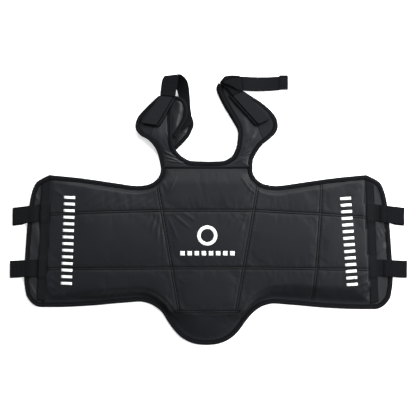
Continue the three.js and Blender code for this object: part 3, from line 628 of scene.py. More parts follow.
def stitches(name, lines, over=None, long=3.3, gap=1.3, wide=0.75, tall=None, lift=0.25):
    """Thread stitches along lines, and dark cords laid the same way that are painted shade. They
    lie on the surface below them where one is given.
    """
    surface = surface_of(over) if over is not None else None
    size = Matrix.Diagonal((long / 2 * 0.001, wide / 2 * 0.001, (tall or wide) / 2 * 0.001, 1))
    bm = bmesh.new()
    for line in lines:
        path = even(line, long + gap)
        for p, q in zip(path[:-1], path[1:]):
            middle = (p + q) / 2
            ahead = q - p
            at = spot(*middle)
            slope = Vector((ahead[0], ahead[1], ahead[2] if len(ahead) > 2 else 0)).normalized()
            if surface is not None:
                at, normal = dropped(surface, at)
                if at is None:
                    continue
                slope = (slope - normal * slope.dot(normal)).normalized()
            at.z += lift * 0.001
            turn = slope.to_track_quat("X", "Z").to_matrix().to_4x4()
            place = Matrix.Translation(at) @ turn @ size
            bmesh.ops.create_icosphere(bm, subdivisions=1, radius=1, matrix=place)
    return piece(name, mesh_from(name, bm), "binding_tape", look="thread")


def new_group(name, inputs, outputs):
    """An empty node group with named sockets, and its two end nodes."""
    tree = bpy.data.node_groups.new(name, "ShaderNodeTree")
    for label, kind, value in inputs:
        socket = tree.interface.new_socket(name=label, in_out="INPUT", socket_type=kind)
        if value is not None:
            socket.default_value = value
    for label, kind in outputs:
        tree.interface.new_socket(name=label, in_out="OUTPUT", socket_type=kind)
    start = tree.nodes.new("NodeGroupInput")
    end = tree.nodes.new("NodeGroupOutput")
    return tree, start, end


def math_node(tree, operation, *values):
    """A math operation on numbers or other nodes' outputs, as an output."""
    made = tree.nodes.new("ShaderNodeMath")
    made.operation = operation
    for socket, value in zip(made.inputs, values):
        if isinstance(value, (int, float)):
            socket.default_value = value
        else:
            tree.links.new(value, socket)
    return made.outputs[0]


def clamped(tree, value):
    """A value kept between 0 and 1."""
    return math_node(tree, "MINIMUM", math_node(tree, "MAXIMUM", value, 0.0), 1.0)


def noise(tree, vector, scale, detail=2.0):
    """Soft noise at a scale, as a value."""
    made = tree.nodes.new("ShaderNodeTexNoise")
    made.inputs["Scale"].default_value = scale
    made.inputs["Detail"].default_value = detail
    tree.links.new(vector, made.inputs["Vector"])
    return made.outputs["Fac"]


def mixed_colour(tree, share, first, second):
    """A mix of two colours, each a value or another node's output."""
    mix = tree.nodes.new("ShaderNodeMix")
    mix.data_type = "RGBA"
    for socket, colour in ((mix.inputs[6], first), (mix.inputs[7], second)):
        if isinstance(colour, tuple):
            socket.default_value = (*colour, 1)
        else:
            tree.links.new(colour, socket)
    tree.links.new(share, mix.inputs[0])
    return mix.outputs[2]


def leather_grain_group():
    """Coated leather: fine pebbles, faint creases and a slow change of tone."""
    tree, start, end = new_group(
        "leather_grain",
        [("Vector", "NodeSocketVector", None), ("Pebbles", "NodeSocketFloat", 900.0)],
        [("Height", "NodeSocketFloat"), ("Tone", "NodeSocketFloat")],
    )
    vector = start.outputs["Vector"]
    pebbles = tree.nodes.new("ShaderNodeTexVoronoi")
    pebbles.feature = "SMOOTH_F1"
    tree.links.new(vector, pebbles.inputs["Vector"])
    tree.links.new(start.outputs["Pebbles"], pebbles.inputs["Scale"])
    creases = noise(tree, vector, 240, 4)
    slow = noise(tree, vector, 14, 3)
    height = math_node(tree, "MULTIPLY", pebbles.outputs["Distance"], 0.5)
    height = math_node(tree, "MULTIPLY_ADD", creases, 0.8, height)
    tone = math_node(tree, "MULTIPLY", slow, 0.8)
    tone = math_node(tree, "MULTIPLY_ADD", creases, 0.2, tone)
    tree.links.new(height, end.inputs["Height"])
    tree.links.new(tone, end.inputs["Tone"])
    return tree


def woven_group():
    """Woven tape or elastic: ribs across it and finer threads along it, on the piece's own map."""
    tree, start, end = new_group(
        "woven_tape",
        [("Vector", "NodeSocketVector", None), ("Ribs", "NodeSocketFloat", 700.0),
         ("Threads", "NodeSocketFloat", 900.0)],
        [("Height", "NodeSocketFloat"), ("Tone", "NodeSocketFloat")],
    )
    apart = tree.nodes.new("ShaderNodeSeparateXYZ")
    tree.links.new(start.outputs["Vector"], apart.inputs[0])
    ribs = math_node(tree, "MULTIPLY", apart.outputs["Y"], start.outputs["Ribs"])
    ribs = math_node(tree, "SINE", math_node(tree, "MULTIPLY", ribs, math.tau))
    threads = math_node(tree, "MULTIPLY", apart.outputs["X"], start.outputs["Threads"])
    threads = math_node(tree, "SINE", math_node(tree, "MULTIPLY", threads, math.tau))
    woven = math_node(tree, "MULTIPLY_ADD", ribs, 0.3, 0.5)
    woven = math_node(tree, "MULTIPLY_ADD", threads, 0.2, woven)
    fuzz = noise(tree, start.outputs["Vector"], 300, 3)
    tone = math_node(tree, "MULTIPLY_ADD", woven, 0.6, math_node(tree, "MULTIPLY", fuzz, 0.4))
    tree.links.new(woven, end.inputs["Height"])
    tree.links.new(tone, end.inputs["Tone"])
    return tree


def pile_group():
    """Short looped pile: dense fine fuzz in small clumps."""
    tree, start, end = new_group(
        "loop_pile_fuzz",
        [("Vector", "NodeSocketVector", None), ("Loops", "NodeSocketFloat", 1100.0)],
        [("Height", "NodeSocketFloat"), ("Tone", "NodeSocketFloat")],
    )
    loops = tree.nodes.new("ShaderNodeTexNoise")
    loops.inputs["Detail"].default_value = 5
    loops.inputs["Roughness"].default_value = 0.7
    tree.links.new(start.outputs["Vector"], loops.inputs["Vector"])
    tree.links.new(start.outputs["Loops"], loops.inputs["Scale"])
    clumps = noise(tree, start.outputs["Vector"], 160)
    mixed = math_node(tree, "MULTIPLY_ADD", clumps, 0.4,
                      math_node(tree, "MULTIPLY", loops.outputs["Fac"], 0.6))
    tree.links.new(mixed, end.inputs["Height"])
    tree.links.new(mixed, end.inputs["Tone"])
    return tree


def seam_group():
    """The two narrow grooves of a double row of stitches, by nearness to the seam. The finish
    paints them near-black, as painted shade together with the thread's dark.
    """
    tree, start, end = new_group(
        "stitch_grooves_and_shade",
        [("Nearness", "NodeSocketFloat", 0.0)],
        [("Groove", "NodeSocketFloat")],
    )
    away = math_node(tree, "MULTIPLY_ADD", start.outputs["Nearness"], -SEAM_NEAR, SEAM_NEAR)
    off = math_node(tree, "ABSOLUTE", math_node(tree, "SUBTRACT", away, SEAM_HALF))
    groove = clamped(tree, math_node(tree, "MULTIPLY_ADD", off, -1.2, 1.5))
    tree.links.new(groove, end.inputs["Groove"])
    return tree


def tape_lines_group():
    """Darker lines along a folded tape, at its inner edge, its groove and its fold: painted shade
    at the edge and the fold, and at the groove painted shade with the thread's dark.
    """
    tree, start, end = new_group(
        "tape_shade_lines",
        [("Vector", "NodeSocketVector", None)],
        [("Line", "NodeSocketFloat")],
    )
    apart = tree.nodes.new("ShaderNodeSeparateXYZ")
    tree.links.new(start.outputs["Vector"], apart.inputs[0])
    across = math_node(tree, "MULTIPLY", apart.outputs["X"], 1000.0)
    total = None
    for middle, half in ((0.7, 1.5), (4.4, 0.9), (13.6, 2.3)):
        off = math_node(tree, "ABSOLUTE", math_node(tree, "SUBTRACT", across, middle))
        line = clamped(tree, math_node(tree, "MULTIPLY_ADD", off, -1.4, 1.4 * half))
        total = line if total is None else math_node(tree, "MAXIMUM", total, line)
    tree.links.new(total, end.inputs["Line"])
    return tree


GRAIN, WOVEN, PILE, SEWN = leather_grain_group(), woven_group(), pile_group(), seam_group()
LINED = tape_lines_group()


# Colour and depth, in metres, of stitch grooves and of the lines along a tape. The near-black
# colour is painted shade in the grooves and at the tape's edges, mixed with the thread's own dark
# where stitches run
SHADE_AND_THREAD_COLOUR = (0.001, 0.001, 0.0012)
LINE_DEPTH = 0.0006


def finish(name, pattern, own, dark, light, rough, spread, depth, on_map=False, sheen=0.0,
           shine=0.5, sewn=False, lined=False):
    """A finish from a pattern: two tones, roughness and its spread, and its relief in metres."""
    made = bpy.data.materials.new(name)
    made.use_nodes = True
    tree = made.node_tree
    shader = tree.nodes["Principled BSDF"]
    where = tree.nodes.new("ShaderNodeTexCoord")
    look = tree.nodes.new("ShaderNodeGroup")
    look.node_tree = pattern
    for label, value in own.items():
        look.inputs[label].default_value = value
    tree.links.new(where.outputs["UV" if on_map else "Object"], look.inputs["Vector"])
    colour = mixed_colour(tree, look.outputs["Tone"], dark, light)
    height = look.outputs["Height"]
    # Sewn and lined finishes paint near-black lines into the colour: painted shade, with the
    # thread's own dark where the lines follow stitches.
    if sewn or lined:
        lines = tree.nodes.new("ShaderNodeGroup")
        if sewn:
            near = tree.nodes.new("ShaderNodeAttribute")
            near.attribute_name = "near_seam"
            lines.node_tree = SEWN
            tree.links.new(near.outputs["Fac"], lines.inputs["Nearness"])
        else:
            lines.node_tree = LINED
            tree.links.new(where.outputs["UV"], lines.inputs["Vector"])
        share = math_node(tree, "MULTIPLY", lines.outputs[0], 0.95)
        colour = mixed_colour(tree, share, colour, SHADE_AND_THREAD_COLOUR)
        height = math_node(tree, "MULTIPLY_ADD", lines.outputs[0], -LINE_DEPTH / depth, height)
    tree.links.new(colour, shader.inputs["Base Color"])
    gloss = math_node(tree, "MULTIPLY_ADD", look.outputs["Tone"], spread, rough - spread / 2)
    tree.links.new(gloss, shader.inputs["Roughness"])
    relief = tree.nodes.new("ShaderNodeBump")
    relief.inputs["Distance"].default_value = depth
    relief.inputs["Strength"].default_value = 1.0
    tree.links.new(height, relief.inputs["Height"])
    tree.links.new(relief.outputs["Normal"], shader.inputs["Normal"])
    shader.inputs["Sheen Weight"].default_value = sheen
    shader.inputs["Sheen Roughness"].default_value = 0.4
    shader.inputs["Specular IOR Level"].default_value = shine
    return made


# Pattern, its own values, dark and light tone, roughness and its spread, relief, and more
FINISHES = {
    "panel_leather": (GRAIN, {"Pebbles": 900.0}, (0.0052, 0.0056, 0.0072),
                      (0.0092, 0.0098, 0.0124), 0.53, 0.12, 0.00012,
                      {"shine": 0.17, "sewn": True}),
    # The same leather as panel_leather, painted lighter for the unpadded yoke, wings and flaps: the
    # extra lightness is painted light, standing in for the light these parts catch.
    "lighter_lit_leather": (GRAIN, {"Pebbles": 900.0}, (0.0072, 0.0077, 0.0096),
                     (0.0125, 0.0132, 0.0164), 0.5, 0.12, 0.0001, {"shine": 0.27}),
    "back_lining": (GRAIN, {"Pebbles": 700.0}, (0.005, 0.0054, 0.0068),
                    (0.0085, 0.009, 0.0112), 0.4, 0.1, 0.00008, {"shine": 0.4}),
    # The tape's dark lines are painted shade at its inner edge and fold, and painted shade with the
    # thread's dark at its groove.
    "binding_tape": (WOVEN, {"Ribs": 620.0, "Threads": 500.0}, (0.0044, 0.0046, 0.0056),
                     (0.0098, 0.0102, 0.0124), 0.85, 0.1, 0.0002,
                     {"shine": 0.04, "on_map": True, "lined": True}),
    "side_webbing": (WOVEN, {"Ribs": 300.0, "Threads": 700.0}, (0.003, 0.0031, 0.0038),
                     (0.0116, 0.012, 0.0142), 0.85, 0.1, 0.0003,
                     {"shine": 0.05, "on_map": True}),
    "elastic": (WOVEN, {"Ribs": 330.0, "Threads": 420.0}, (0.0022, 0.0023, 0.0029),
                (0.0092, 0.0095, 0.0115), 0.85, 0.1, 0.0003, {"shine": 0.04, "on_map": True}),
    "loop_pile": (PILE, {"Loops": 1100.0}, (0.008, 0.0084, 0.0102),
                  (0.0155, 0.0163, 0.0195), 0.95, 0.05, 0.0003, {"shine": 0.08, "sheen": 0.03}),
    "hook_tab": (PILE, {"Loops": 1600.0}, (0.0058, 0.0061, 0.0074),
                 (0.0118, 0.0124, 0.015), 0.8, 0.1, 0.0002, {"shine": 0.07}),
    # Near-black thread; the same finish colours the cords that are painted shade at the tabs, the
    # yoke seam and the right strap's turn.
    "thread": (GRAIN, {"Pebbles": 900.0}, (0.0012, 0.0012, 0.0015),
               (0.0026, 0.0027, 0.0033), 0.8, 0.1, 0.00005, {"shine": 0.05}),
    "white_print": (GRAIN, {"Pebbles": 900.0}, (0.8, 0.8, 0.8), (0.92, 0.92, 0.92),
                    0.5, 0.1, 0.00005, {"shine": 0.4}),
}
finishes = {name: finish(name, *values, **more) for name, (*values, more) in FINISHES.items()}


def as_folds(rows):
    """Folds measured in the picture, as rows in millimetres."""
    return [(*seen(x0, y0), *seen(x1, y1), wide, high) for x0, y0, x1, y1, wide, high in rows]


def wrinkled(rows, folds, edge, scale, seed, high, off_edge, off_waves):
    """Adds folds and soft waves to rows of points. Each sets in over a span from an edge."""
    flat = rows[:, :, :2].reshape(-1, 2)
    rise = folded(flat, as_folds(folds)) * smoothstep(*off_edge, edge)
    fade = smoothstep(*off_waves, edge) if off_waves else 1
    rise += high * waves(flat[:, 0], flat[:, 1], scale, seed) * fade
    rows[:, :, 2] += rise.reshape(len(rows), -1)


def puckers(line, side, seed, spacing=10.0, reach=(7, 22), high=0.6, wide=2.4):
    """Small ridges that a sewn line draws up, standing off one side of it."""
    rng = random.Random(seed)
    path = even(line, 1.0)
    across = sideways(path) * side
    rows = []
    at = rng.uniform(2, spacing)
    while at < len(path) - 2:
        p, n = path[int(at)], across[int(at)]
        ahead = np.array([n[1], -n[0]]) * rng.uniform(-0.35, 0.35)
        far = p + (n + ahead) * rng.uniform(*reach)
        near = p + n * 2.5
        half, top = wide * rng.uniform(0.7, 1.3), high * rng.uniform(0.4, 1.2)
        rows.append((near[0], near[1], far[0], far[1], half, top))
        at += spacing * rng.uniform(0.6, 1.5)
    return rows


# Folds of the body's cover: two ends in the picture's pixels, then half width and height in
# millimetres
BODY_FOLDS = [
    (84, 205, 99, 190, 4, 0.9), (93, 208, 113, 192, 4, 0.9), (106, 208, 125, 194, 4.5, 1.0),
    (119, 208, 136, 197, 4, 0.8), (131, 208, 146, 198, 3.5, 0.9), (142, 208, 152, 200, 3, 0.8),
    (157, 214, 151, 232, 3, 1.0), (160, 214, 157, 240, 3, 0.9), (162, 225, 164, 258, 3, 0.7),
    (152, 214, 144, 228, 3.5, 0.7), (173, 214, 190, 228, 3, 0.9), (168, 216, 178, 240, 3, 0.7),
    (184, 213, 196, 221, 3, 0.7), (238, 214, 228, 226, 3, 0.7), (247, 214, 240, 232, 3, 0.7),
    (105, 290, 97, 297, 2, 0.8), (112, 290, 104, 298, 2, 0.8), (119, 290, 111, 298, 2, 0.8),
    (125, 289, 118, 297, 2, 0.7), (58, 292, 53, 299, 2.5, 0.8), (66, 292, 60, 299, 2.5, 0.8),
    (369, 272, 350, 280, 3, 1.2), (370, 280, 349, 290, 3, 1.2), (370, 288, 353, 297, 2.5, 1.2),
    (367, 293, 358, 299, 2.5, 1.0), (49, 276, 60, 284, 3, 0.6), (47, 284, 60, 292, 3, 0.6),
    (161, 178, 168, 190, 3, 0.8), (157, 183, 163, 196, 3, 0.8), (254, 182, 248, 194, 3, 0.8),
    (259, 188, 252, 200, 3, 0.8), (362, 190, 350, 196, 3, 0.8), (53, 189, 64, 196, 3, 0.8),
    (177, 176, 169, 192, 2.6, 1.1), (241.5, 177, 251, 191, 2.6, 1.3),
    (249, 188, 257, 195, 2.4, 0.9),
    (165, 296, 172, 306, 3, 1.0), (250, 296, 243, 306, 3, 1.0), (176, 276, 186, 284, 3, 0.5),
]


def chest_cover():
    """The quilted pad: a sheet over the foam, swollen between its seams, closed underneath."""
    step, wide, tall = 3.4, 770.0, 410.0
    off_seam = 0.3
    outline = body_loop(5, off_seam, -6.5)
    bm = bmesh.new()
    columns, lines = round(wide / step), round(tall / step)
    bmesh.ops.create_grid(bm, x_segments=columns, y_segments=lines, size=1)
    x, y = np.array([v.co.x for v in bm.verts]), np.array([v.co.y for v in bm.verts])
    flat = np.column_stack([BODY_MIDDLE + x * wide / 2, SEAM_UP - off_seam - (1 - y) * tall / 2])
    kept = inside(flat + np.array([0, -0.01]), outline)
    height = pad_height(flat)
    for v, p, z in zip(bm.verts, flat, height):
        v.co = spot(p[0], p[1], z)
    bm.verts.ensure_lookup_table()
    bmesh.ops.delete(bm, geom=[v for v, k in zip(bm.verts, kept) if not k], context="VERTS")
    cover = placed("chest_cover", mesh_from("chest_cover", bm))
    swell_between_seams(cover)
    rounded(cover)
    graph = bpy.context.evaluated_depsgraph_get()
    fine = bpy.data.meshes.new_from_object(cover.evaluated_get(graph))
    bpy.data.objects.remove(cover)

    co = coordinates(fine)
    flat = co[:, :2]
    folds = as_folds(BODY_FOLDS)
    for k, (name, line) in enumerate(quilt.items()):
        upright = "diagonal" in name or "upright" in name
        folds += puckers(line, 1, 11 + k, high=0.16 if upright else 0.26)
        folds += puckers(line, -1, 31 + k, high=0.16 if upright else 0.24)
    chest_top = traced([(166, 209), (250, 209)])
    folds += puckers(chest_top, 1, 7, spacing=12, reach=(16, 34), high=0.25, wide=3.0)
    away = off_quilting(flat)
    share = np.clip((co[:, 2] - RIM_TOP) / 8, 0, 1)
    rise = folded(flat, folds) * smoothstep(1.0, 5.0, away)
    rise += 0.12 * waves(flat[:, 0], flat[:, 1], 60, 3) * share
    co[:, 2] = np.maximum(co[:, 2] + rise, RIM_TOP - 0.6)
    set_coordinates(fine, co)
    # The near_seam attribute places painted shade: in the quilting's two stitch grooves, together
    # with the thread's dark, and as a dark line along the chest's top edge at the yoke seam, a
    # painted shadow of that seam.
    past_end = np.abs(flat[:, 0]) > CHEST_HALF - 10
    off_yoke = np.abs(flat[:, 1] - SEAM_UP + 0.9) + SEAM_HALF + 20 * past_end
    near_quilting = np.clip(1 - away / SEAM_NEAR, 0, 1) * inside(flat, rim)
    near_yoke = np.clip(1 - off_yoke / SEAM_NEAR, 0, 1)
    near_seam = fine.attributes.new("near_seam", "FLOAT", "POINT")
    near_seam.data.foreach_set("value", np.maximum(near_quilting, near_yoke))

    bm = bmesh.new()
    bm.from_mesh(fine)
    edges = [e for e in bm.edges if e.is_boundary]
    for e in edges:
        e.smooth = False
    low = bmesh.ops.extrude_edge_only(bm, edges=edges)
    for v in [g for g in low["geom"] if isinstance(g, bmesh.types.BMVert)]:
        v.co.z = 0.0006
    under = bmesh.ops.holes_fill(bm, edges=[e for e in bm.edges if e.is_boundary], sides=0)
    bmesh.ops.triangulate(bm, faces=under["faces"], ngon_method="EAR_CLIP")
    bmesh.ops.recalc_face_normals(bm, faces=bm.faces)
    bm.to_mesh(fine)
    bm.free()
    fine.name = "chest_cover"
    return piece("chest_cover", fine, "panel_leather", "chest_panel")


def swell_between_seams(cover):
    """Lets the cover swell over the foam while its edges and seams stay sewn down."""
    mesh = cover.data
    before = coordinates(mesh)
    flat = before[:, :2]
    held = (off_quilting(flat) < 4) | (distance_to(flat, closed(rim)) < 6) | ~inside(flat, rim)
    sewn = cover.vertex_groups.new(name="sewn")
    sewn.add([int(i) for i in np.nonzero(held)[0]], 1.0, "REPLACE")
    cloth = cover.modifiers.new("cloth", "CLOTH")
    cloth.settings.vertex_group_mass = "sewn"
    cloth.settings.quality = 4
    cloth.settings.mass = 0.3
    cloth.settings.tension_stiffness = 30
    cloth.settings.compression_stiffness = 30
    cloth.settings.shear_stiffness = 15
    cloth.settings.bending_stiffness = 0.6
    cloth.settings.use_pressure = True
    cloth.settings.uniform_pressure_force = 4
    cloth.settings.shrink_min = -0.01
    cloth.settings.effector_weights.gravity = 0
    last = 20
    cloth.point_cache.frame_start = 1
    cloth.point_cache.frame_end = last
    for number in range(1, last + 1):
        bpy.context.scene.frame_set(number)
    graph = bpy.context.evaluated_depsgraph_get()
    swollen = bpy.data.meshes.new_from_object(cover.evaluated_get(graph))
    moved = coordinates(swollen) - before
    bpy.data.meshes.remove(swollen)
    cover.modifiers.remove(cloth)
    bpy.context.scene.frame_set(1)
    length = np.linalg.norm(moved, axis=1)[:, None]
    moved *= 1.8 / (3.5 + length)
    set_coordinates(mesh, before + moved)


# Folds of the yoke and wings, as for the body
WING_FOLDS = [
    (163, 151, 179, 158.5, 2.0, 1.5), (164, 156, 182, 162, 1.9, 1.5),
    (165, 160.5, 186, 163.4, 1.8, 1.3),
    (167, 133, 173, 152, 2.2, 1.6), (173, 150, 184, 160, 2.0, 1.4),
    (170.4, 108, 170.8, 150, 2.4, 1.4),
    (158, 120, 160, 142, 6, 0.5), (158, 140, 166, 152, 3.4, 0.6),
    (251, 149, 242, 155.5, 2.0, 1.5), (250.5, 153, 238, 160, 1.9, 1.4),
    (248, 157, 234, 163, 1.8, 1.2),
    (256, 130, 249, 143, 3.6, 1.3), (249, 141, 243, 149, 3.0, 1.4), (244, 117, 246, 136, 7.0, 1.3),
    (254, 136, 246, 141, 4.0, 0.9), (243, 147, 236, 156, 2.4, 1.0), (180, 165, 200, 165.5, 2, 0.4),
    (216, 165.4, 236, 165, 2, 0.4),
]


def yoke_cover():
    """The yoke with both wings, a little puffed, from the left tip to the right one."""
    near, far = yoke_lines(9)
    near_in = near.copy()
    near_in[:, :2] -= sideways(near) * BINDING_NOSE
    free = np.array([p[1] > SEAM_UP + 0.5 for p in far])
    far_in = far.copy()
    out = sideways(far)
    far_in[free, :2] += (out * BINDING_NOSE)[free]
    far_in[~free, 1] += 0.2
    across = np.linspace(0, 1, 45)
    bulge = np.sin(across * math.pi) ** 0.7
    rows = []
    for k in range(len(near)):
        width = np.linalg.norm(far_in[k, :2] - near_in[k, :2])
        bound = smoothstep(2, 12, across * width)
        if free[k]:
            bound = bound * smoothstep(2, 12, (1 - across) * width)
        puff = WING_PUFF * bulge * bound * min(width / 50, 1)
        line = near_in[k] + (far_in[k] - near_in[k]) * across[:, None]
        line[:, 2] += LEATHER / 2 + puff
        if not free[k]:
            line[:, 2] -= 1.2 * np.exp(-((1 - across) * width / 2.2) ** 2)
        rows.append(line)
    rows = np.array(rows)
    flat = rows[:, :, :2].reshape(-1, 2)
    edge = np.minimum(distance_to(flat, near[:, :2]), distance_to(flat, far[:, :2]))
    wrinkled(rows, WING_FOLDS, edge, 42, 9, 0.2, (4, 13), (6, 16))
    # The yoke and wings take the leather's lighter copy, whose extra lightness is painted light.
    made = piece("yoke_cover", grid_mesh("yoke_cover", rows), "panel_leather", "shoulder_yoke",
                 look="lighter_lit_leather")
    thicken(made, COVER_WALL)
    rounded(made)
    return made, rows


def leaf_cover(name, near, far, node, folds, seed):
    """A thin lining leaf from its bound edge to where it goes under the wing."""
    near_in = near.copy()
    near_in[:, :2] += sideways(near) * BINDING_NOSE
    across = np.linspace(0, 1, 21)
    rows = near_in[:, None] + (far - near_in)[:, None] * across[None, :, None]
    rows[:, :, 2] += LEATHER / 2
    edge = distance_to(rows[:, :, :2].reshape(-1, 2), near[:, :2])
    wrinkled(rows, folds, edge, 24, seed, 0.15, (4, 12), None)
    return thicken(piece(name, grid_mesh(name, rows), "back_lining", node), COVER_WALL)


def left_leaf(which, rim_height, folds, seed):
    """One of the left shoulder's two leaves, with its tape."""
    rows = LEAF_SECTIONS[which]
    near = spline([share_place("left", r[0], r[1]) for r in rows], PER_SPAN)
    far = spline([share_place("left", r[2], r[3]) for r in rows], PER_SPAN)
    near, far = at_height(near, rim_height), at_height(far, rim_height)
    cover = leaf_cover(f"left_leaf_{which}", near, far, f"left_back_leaf_{which}", folds, seed)
    tape = binding(f"left_leaf_{which}_tape", near, 1, f"left_back_leaf_{which}_binding", seed, 0.8)
    return cover, tape


def right_leaf():
    """The right shoulder's leaf, which shows as a narrow strip along the neck edge."""
    near, far = wing_edges("right")
    start = round(5.5 * PER_SPAN)
    near, far = near[start:][::-1], far[start:][::-1]
    hidden = near + (far - near) * 0.7
    shown = 1 - smoothstep(0.6, 1.0, np.linspace(0, 1, len(near)))
    near = near - np.column_stack([BACK_PEEK * shown - 1.5 * (1 - shown), 0 * shown])
    near, hidden = at_height(near, RIM), at_height(hidden, RIM)
    cover = leaf_cover("right_leaf", near, hidden, "right_back_leaf", [], 5)
    tape = binding("right_leaf_tape", near, 1, "right_back_leaf_binding", 8)
    return cover, tape


# Folds of the side flaps, as for the body
FLAP_FOLDS = [
    (31.6, 224, 39, 250, 1.8, 1.6), (34, 222, 41, 248, 7, 2.2), (28, 240, 31, 254, 3, 1.0),
    (33, 190, 38, 200, 3, 1.2), (30, 284, 36, 296, 3, 1.0), (375, 237, 387, 229, 2.6, 3.2),
    (375, 254, 386, 244, 4.0, 3.4), (378, 186, 382, 198, 3, 1.2),
]


def flap_line(side):
    """A flap's bound edge, from its top corner to its foot."""
    span = side["flap"] - side["corner"]
    rows = [(side["sign"] * (side["corner"] + span * out),
             CORNER_UP - (CORNER_UP + side["down"]) * down) for out, down in FLAP_EDGE]
    return spline(rows, 9)


def side_flap(name):
    """A thin flap beyond the side webbing, with its tape."""
    side = SIDES[name]
    line = flap_line(side)
    turn = -side["sign"]
    outer = line + sideways(line) * turn * BINDING_NOSE
    inner = np.array([
        (side["sign"] * (side_line(side, y) + 2.4), np.clip(y, 4 - side["down"], CORNER_UP - 4))
        for y in outer[:, 1]
    ])
    beyond = (outer[:, 0] - inner[:, 0]) * side["sign"] < 1
    outer[beyond, 0] = inner[beyond, 0] + side["sign"]
    across = np.linspace(0, 1, 31)
    rows = np.zeros((len(outer), len(across), 3))
    rows[:, :, :2] = inner[:, None] + (outer - inner)[:, None] * across[None, :, None]
    rows[:, :, 2] = RIM_TOP
    edge = distance_to(rows[:, :, :2].reshape(-1, 2), line)
    wrinkled(rows, FLAP_FOLDS, edge, 40, 17, 0.2, (7, 12), (5, 13))
    # The flap takes the leather's lighter copy, whose extra lightness is painted light.
    cover = piece(f"{name}_flap_cover", grid_mesh(f"{name}_flap_cover", rows), "panel_leather",
                  f"{name}_side_flap", look="lighter_lit_leather")
    thicken(cover, COVER_WALL)
    tape = binding(f"{name}_flap_tape", at_height(line, RIM), turn, f"{name}_flap_binding", 21)
    return cover, tape


def side_webbing(name):
    """The upright webbing that covers the strap ends, stepped up over each strap."""
    side = SIDES[name]
    top, foot = CORNER_UP - BINDING - 1.5, -side["down"] + BINDING + 1.5
    stops = [(top, 0)]
    for strap in SIDE_STRAPS.values():
        half = SIDE_STRAP_WIDTH / 2
        stops += [(strap["at"] + half + 6, 0), (strap["at"] + half + 1, 1),
                  (strap["at"] - half - 1, 1), (strap["at"] - half - 6, 0)]
    stops.append((foot, 0))
    heights = np.array(stops)[::-1]
    ys = np.linspace(top, foot, 90)
    up = np.interp(ys, heights[:, 0], heights[:, 1])
    share = (CORNER_UP - ys) / (CORNER_UP + side["down"])
    x = side_line(side, ys) - (2 + 6 * share)
    z = RIM_TOP + GAP + ELASTIC / 2 + up * (ELASTIC + GAP)
    slant = np.interp(ys, [foot, foot + 40, top - 60, top], [5, 0, 0, -9])
    a = np.column_stack([side["sign"] * x, ys, z])
    b = np.column_stack([side["sign"] * (x + WEBBING_WIDTH), ys + slant, z])
    band(f"{name}_webbing", a, b, ELASTIC, "side_webbing", f"{name}_side_webbing",
         wave=0.15, seed=4)
    lines = [a + (b - a) * t + [0, 0, ELASTIC / 2] for t in (0.12, 0.88)]
    stitches(f"{name}_webbing_thread", lines)


def flap_reach(side, y):
    """How far out a flap's edge is at a height."""
    line = flap_line(side)
    order = np.argsort(-line[:, 1])
    return float(np.interp(-y, -line[order, 1], np.abs(line[order, 0])))


def side_strap(name, which):
    """Wide elastic over the flap, turned back under itself to a sewn loop."""
    side, strap = SIDES[name], SIDE_STRAPS[which]
    half = SIDE_STRAP_WIDTH / 2
    edge = 0.6 + max(flap_reach(side, strap["at"] + half),
                     flap_reach(side, strap["at"] - half - strap["droop"]))
    end = side["flap"] + strap["reach"] - 2
    start = side_line(side, strap["at"]) + 2
    flat = RIM_TOP + GAP + ELASTIC / 2
    back = 2 * BINDING_HALF + GAP + ELASTIC / 2
    front = back + ELASTIC + GAP
    low = front - ELASTIC - LOOP_CLEAR
    radius = (front - low) / 2
    bend = [(end - radius + radius * math.cos(turn), low + radius + radius * math.sin(turn))
            for turn in map(math.radians, (60, 30, 0, -30, -60))]
    path = [(start, flat), (edge - LOOP_SEWN - 13, flat), (edge - LOOP_SEWN - 2, front),
            (end - radius, front), *bend, (end - radius, low), (edge + 8, low),
            (edge + 4, low + 1.4), (edge + 1.6, back - 1.2), (edge - 1.5, back),
            (edge - LOOP_SEWN, back)]
    path = even(spline(path, 6), 1.6)
    y = strap["at"] - strap["droop"] * (path[:, 0] - start) / (end - start)
    turned = np.arange(len(path)) > np.argmax(path[:, 0])
    y = y - turned * strap["peek"] * smoothstep(edge - 4, edge + 14, path[:, 0])
    a = np.column_stack([side["sign"] * path[:, 0], y - half, path[:, 1]])
    b = np.column_stack([side["sign"] * path[:, 0], y + half, path[:, 1]])
    strap_piece = band(f"{name}_{which}_elastic", a, b, ELASTIC, "elastic",
                       f"{name}_{which}_side_strap", wave=0.2, seed=12, across=13)
    sewn = side["sign"] * (edge - 6)
    y_sewn = strap["at"] - strap["droop"] * (edge - 6 - start) / (end - start)
    lines = [
        np.array([(sewn + shift, y_sewn - half + 2, front + ELASTIC / 2),
                  (sewn + shift, y_sewn + half - 2, front + ELASTIC / 2)])
        for shift in (-1.6, 1.6)
    ]
    stitches(f"{name}_{which}_elastic_thread", lines, over=strap_piece)


def strap_level(wing):
    """Height of the middle of a shoulder strap where it lies on its tab."""
    patch_top = RIM + LIFT[wing] + LEATHER / 2 + WING_PUFF + GAP + PATCH
    return patch_top + GAP + TAB_THICK + GAP + ELASTIC / 2


def shoulder_strap(wing):
    """A wing's elastic, and its two edge lines."""
    level = strap_level(wing)
    rows = STRAP_SECTIONS[wing]
    a = spline([(*share_place(wing, r[0], r[1]), level + r[2] * LOOP_STAND) for r in rows], 7)
    b = spline([(*share_place(wing, r[3], r[4]), level + r[5] * LOOP_STAND) for r in rows], 7)
    strap = band(f"{wing}_shoulder_elastic", a, b, ELASTIC, "elastic", f"{wing}_shoulder_strap",
                 wave=0.15, seed=6, across=13)
    return strap, (a, b)


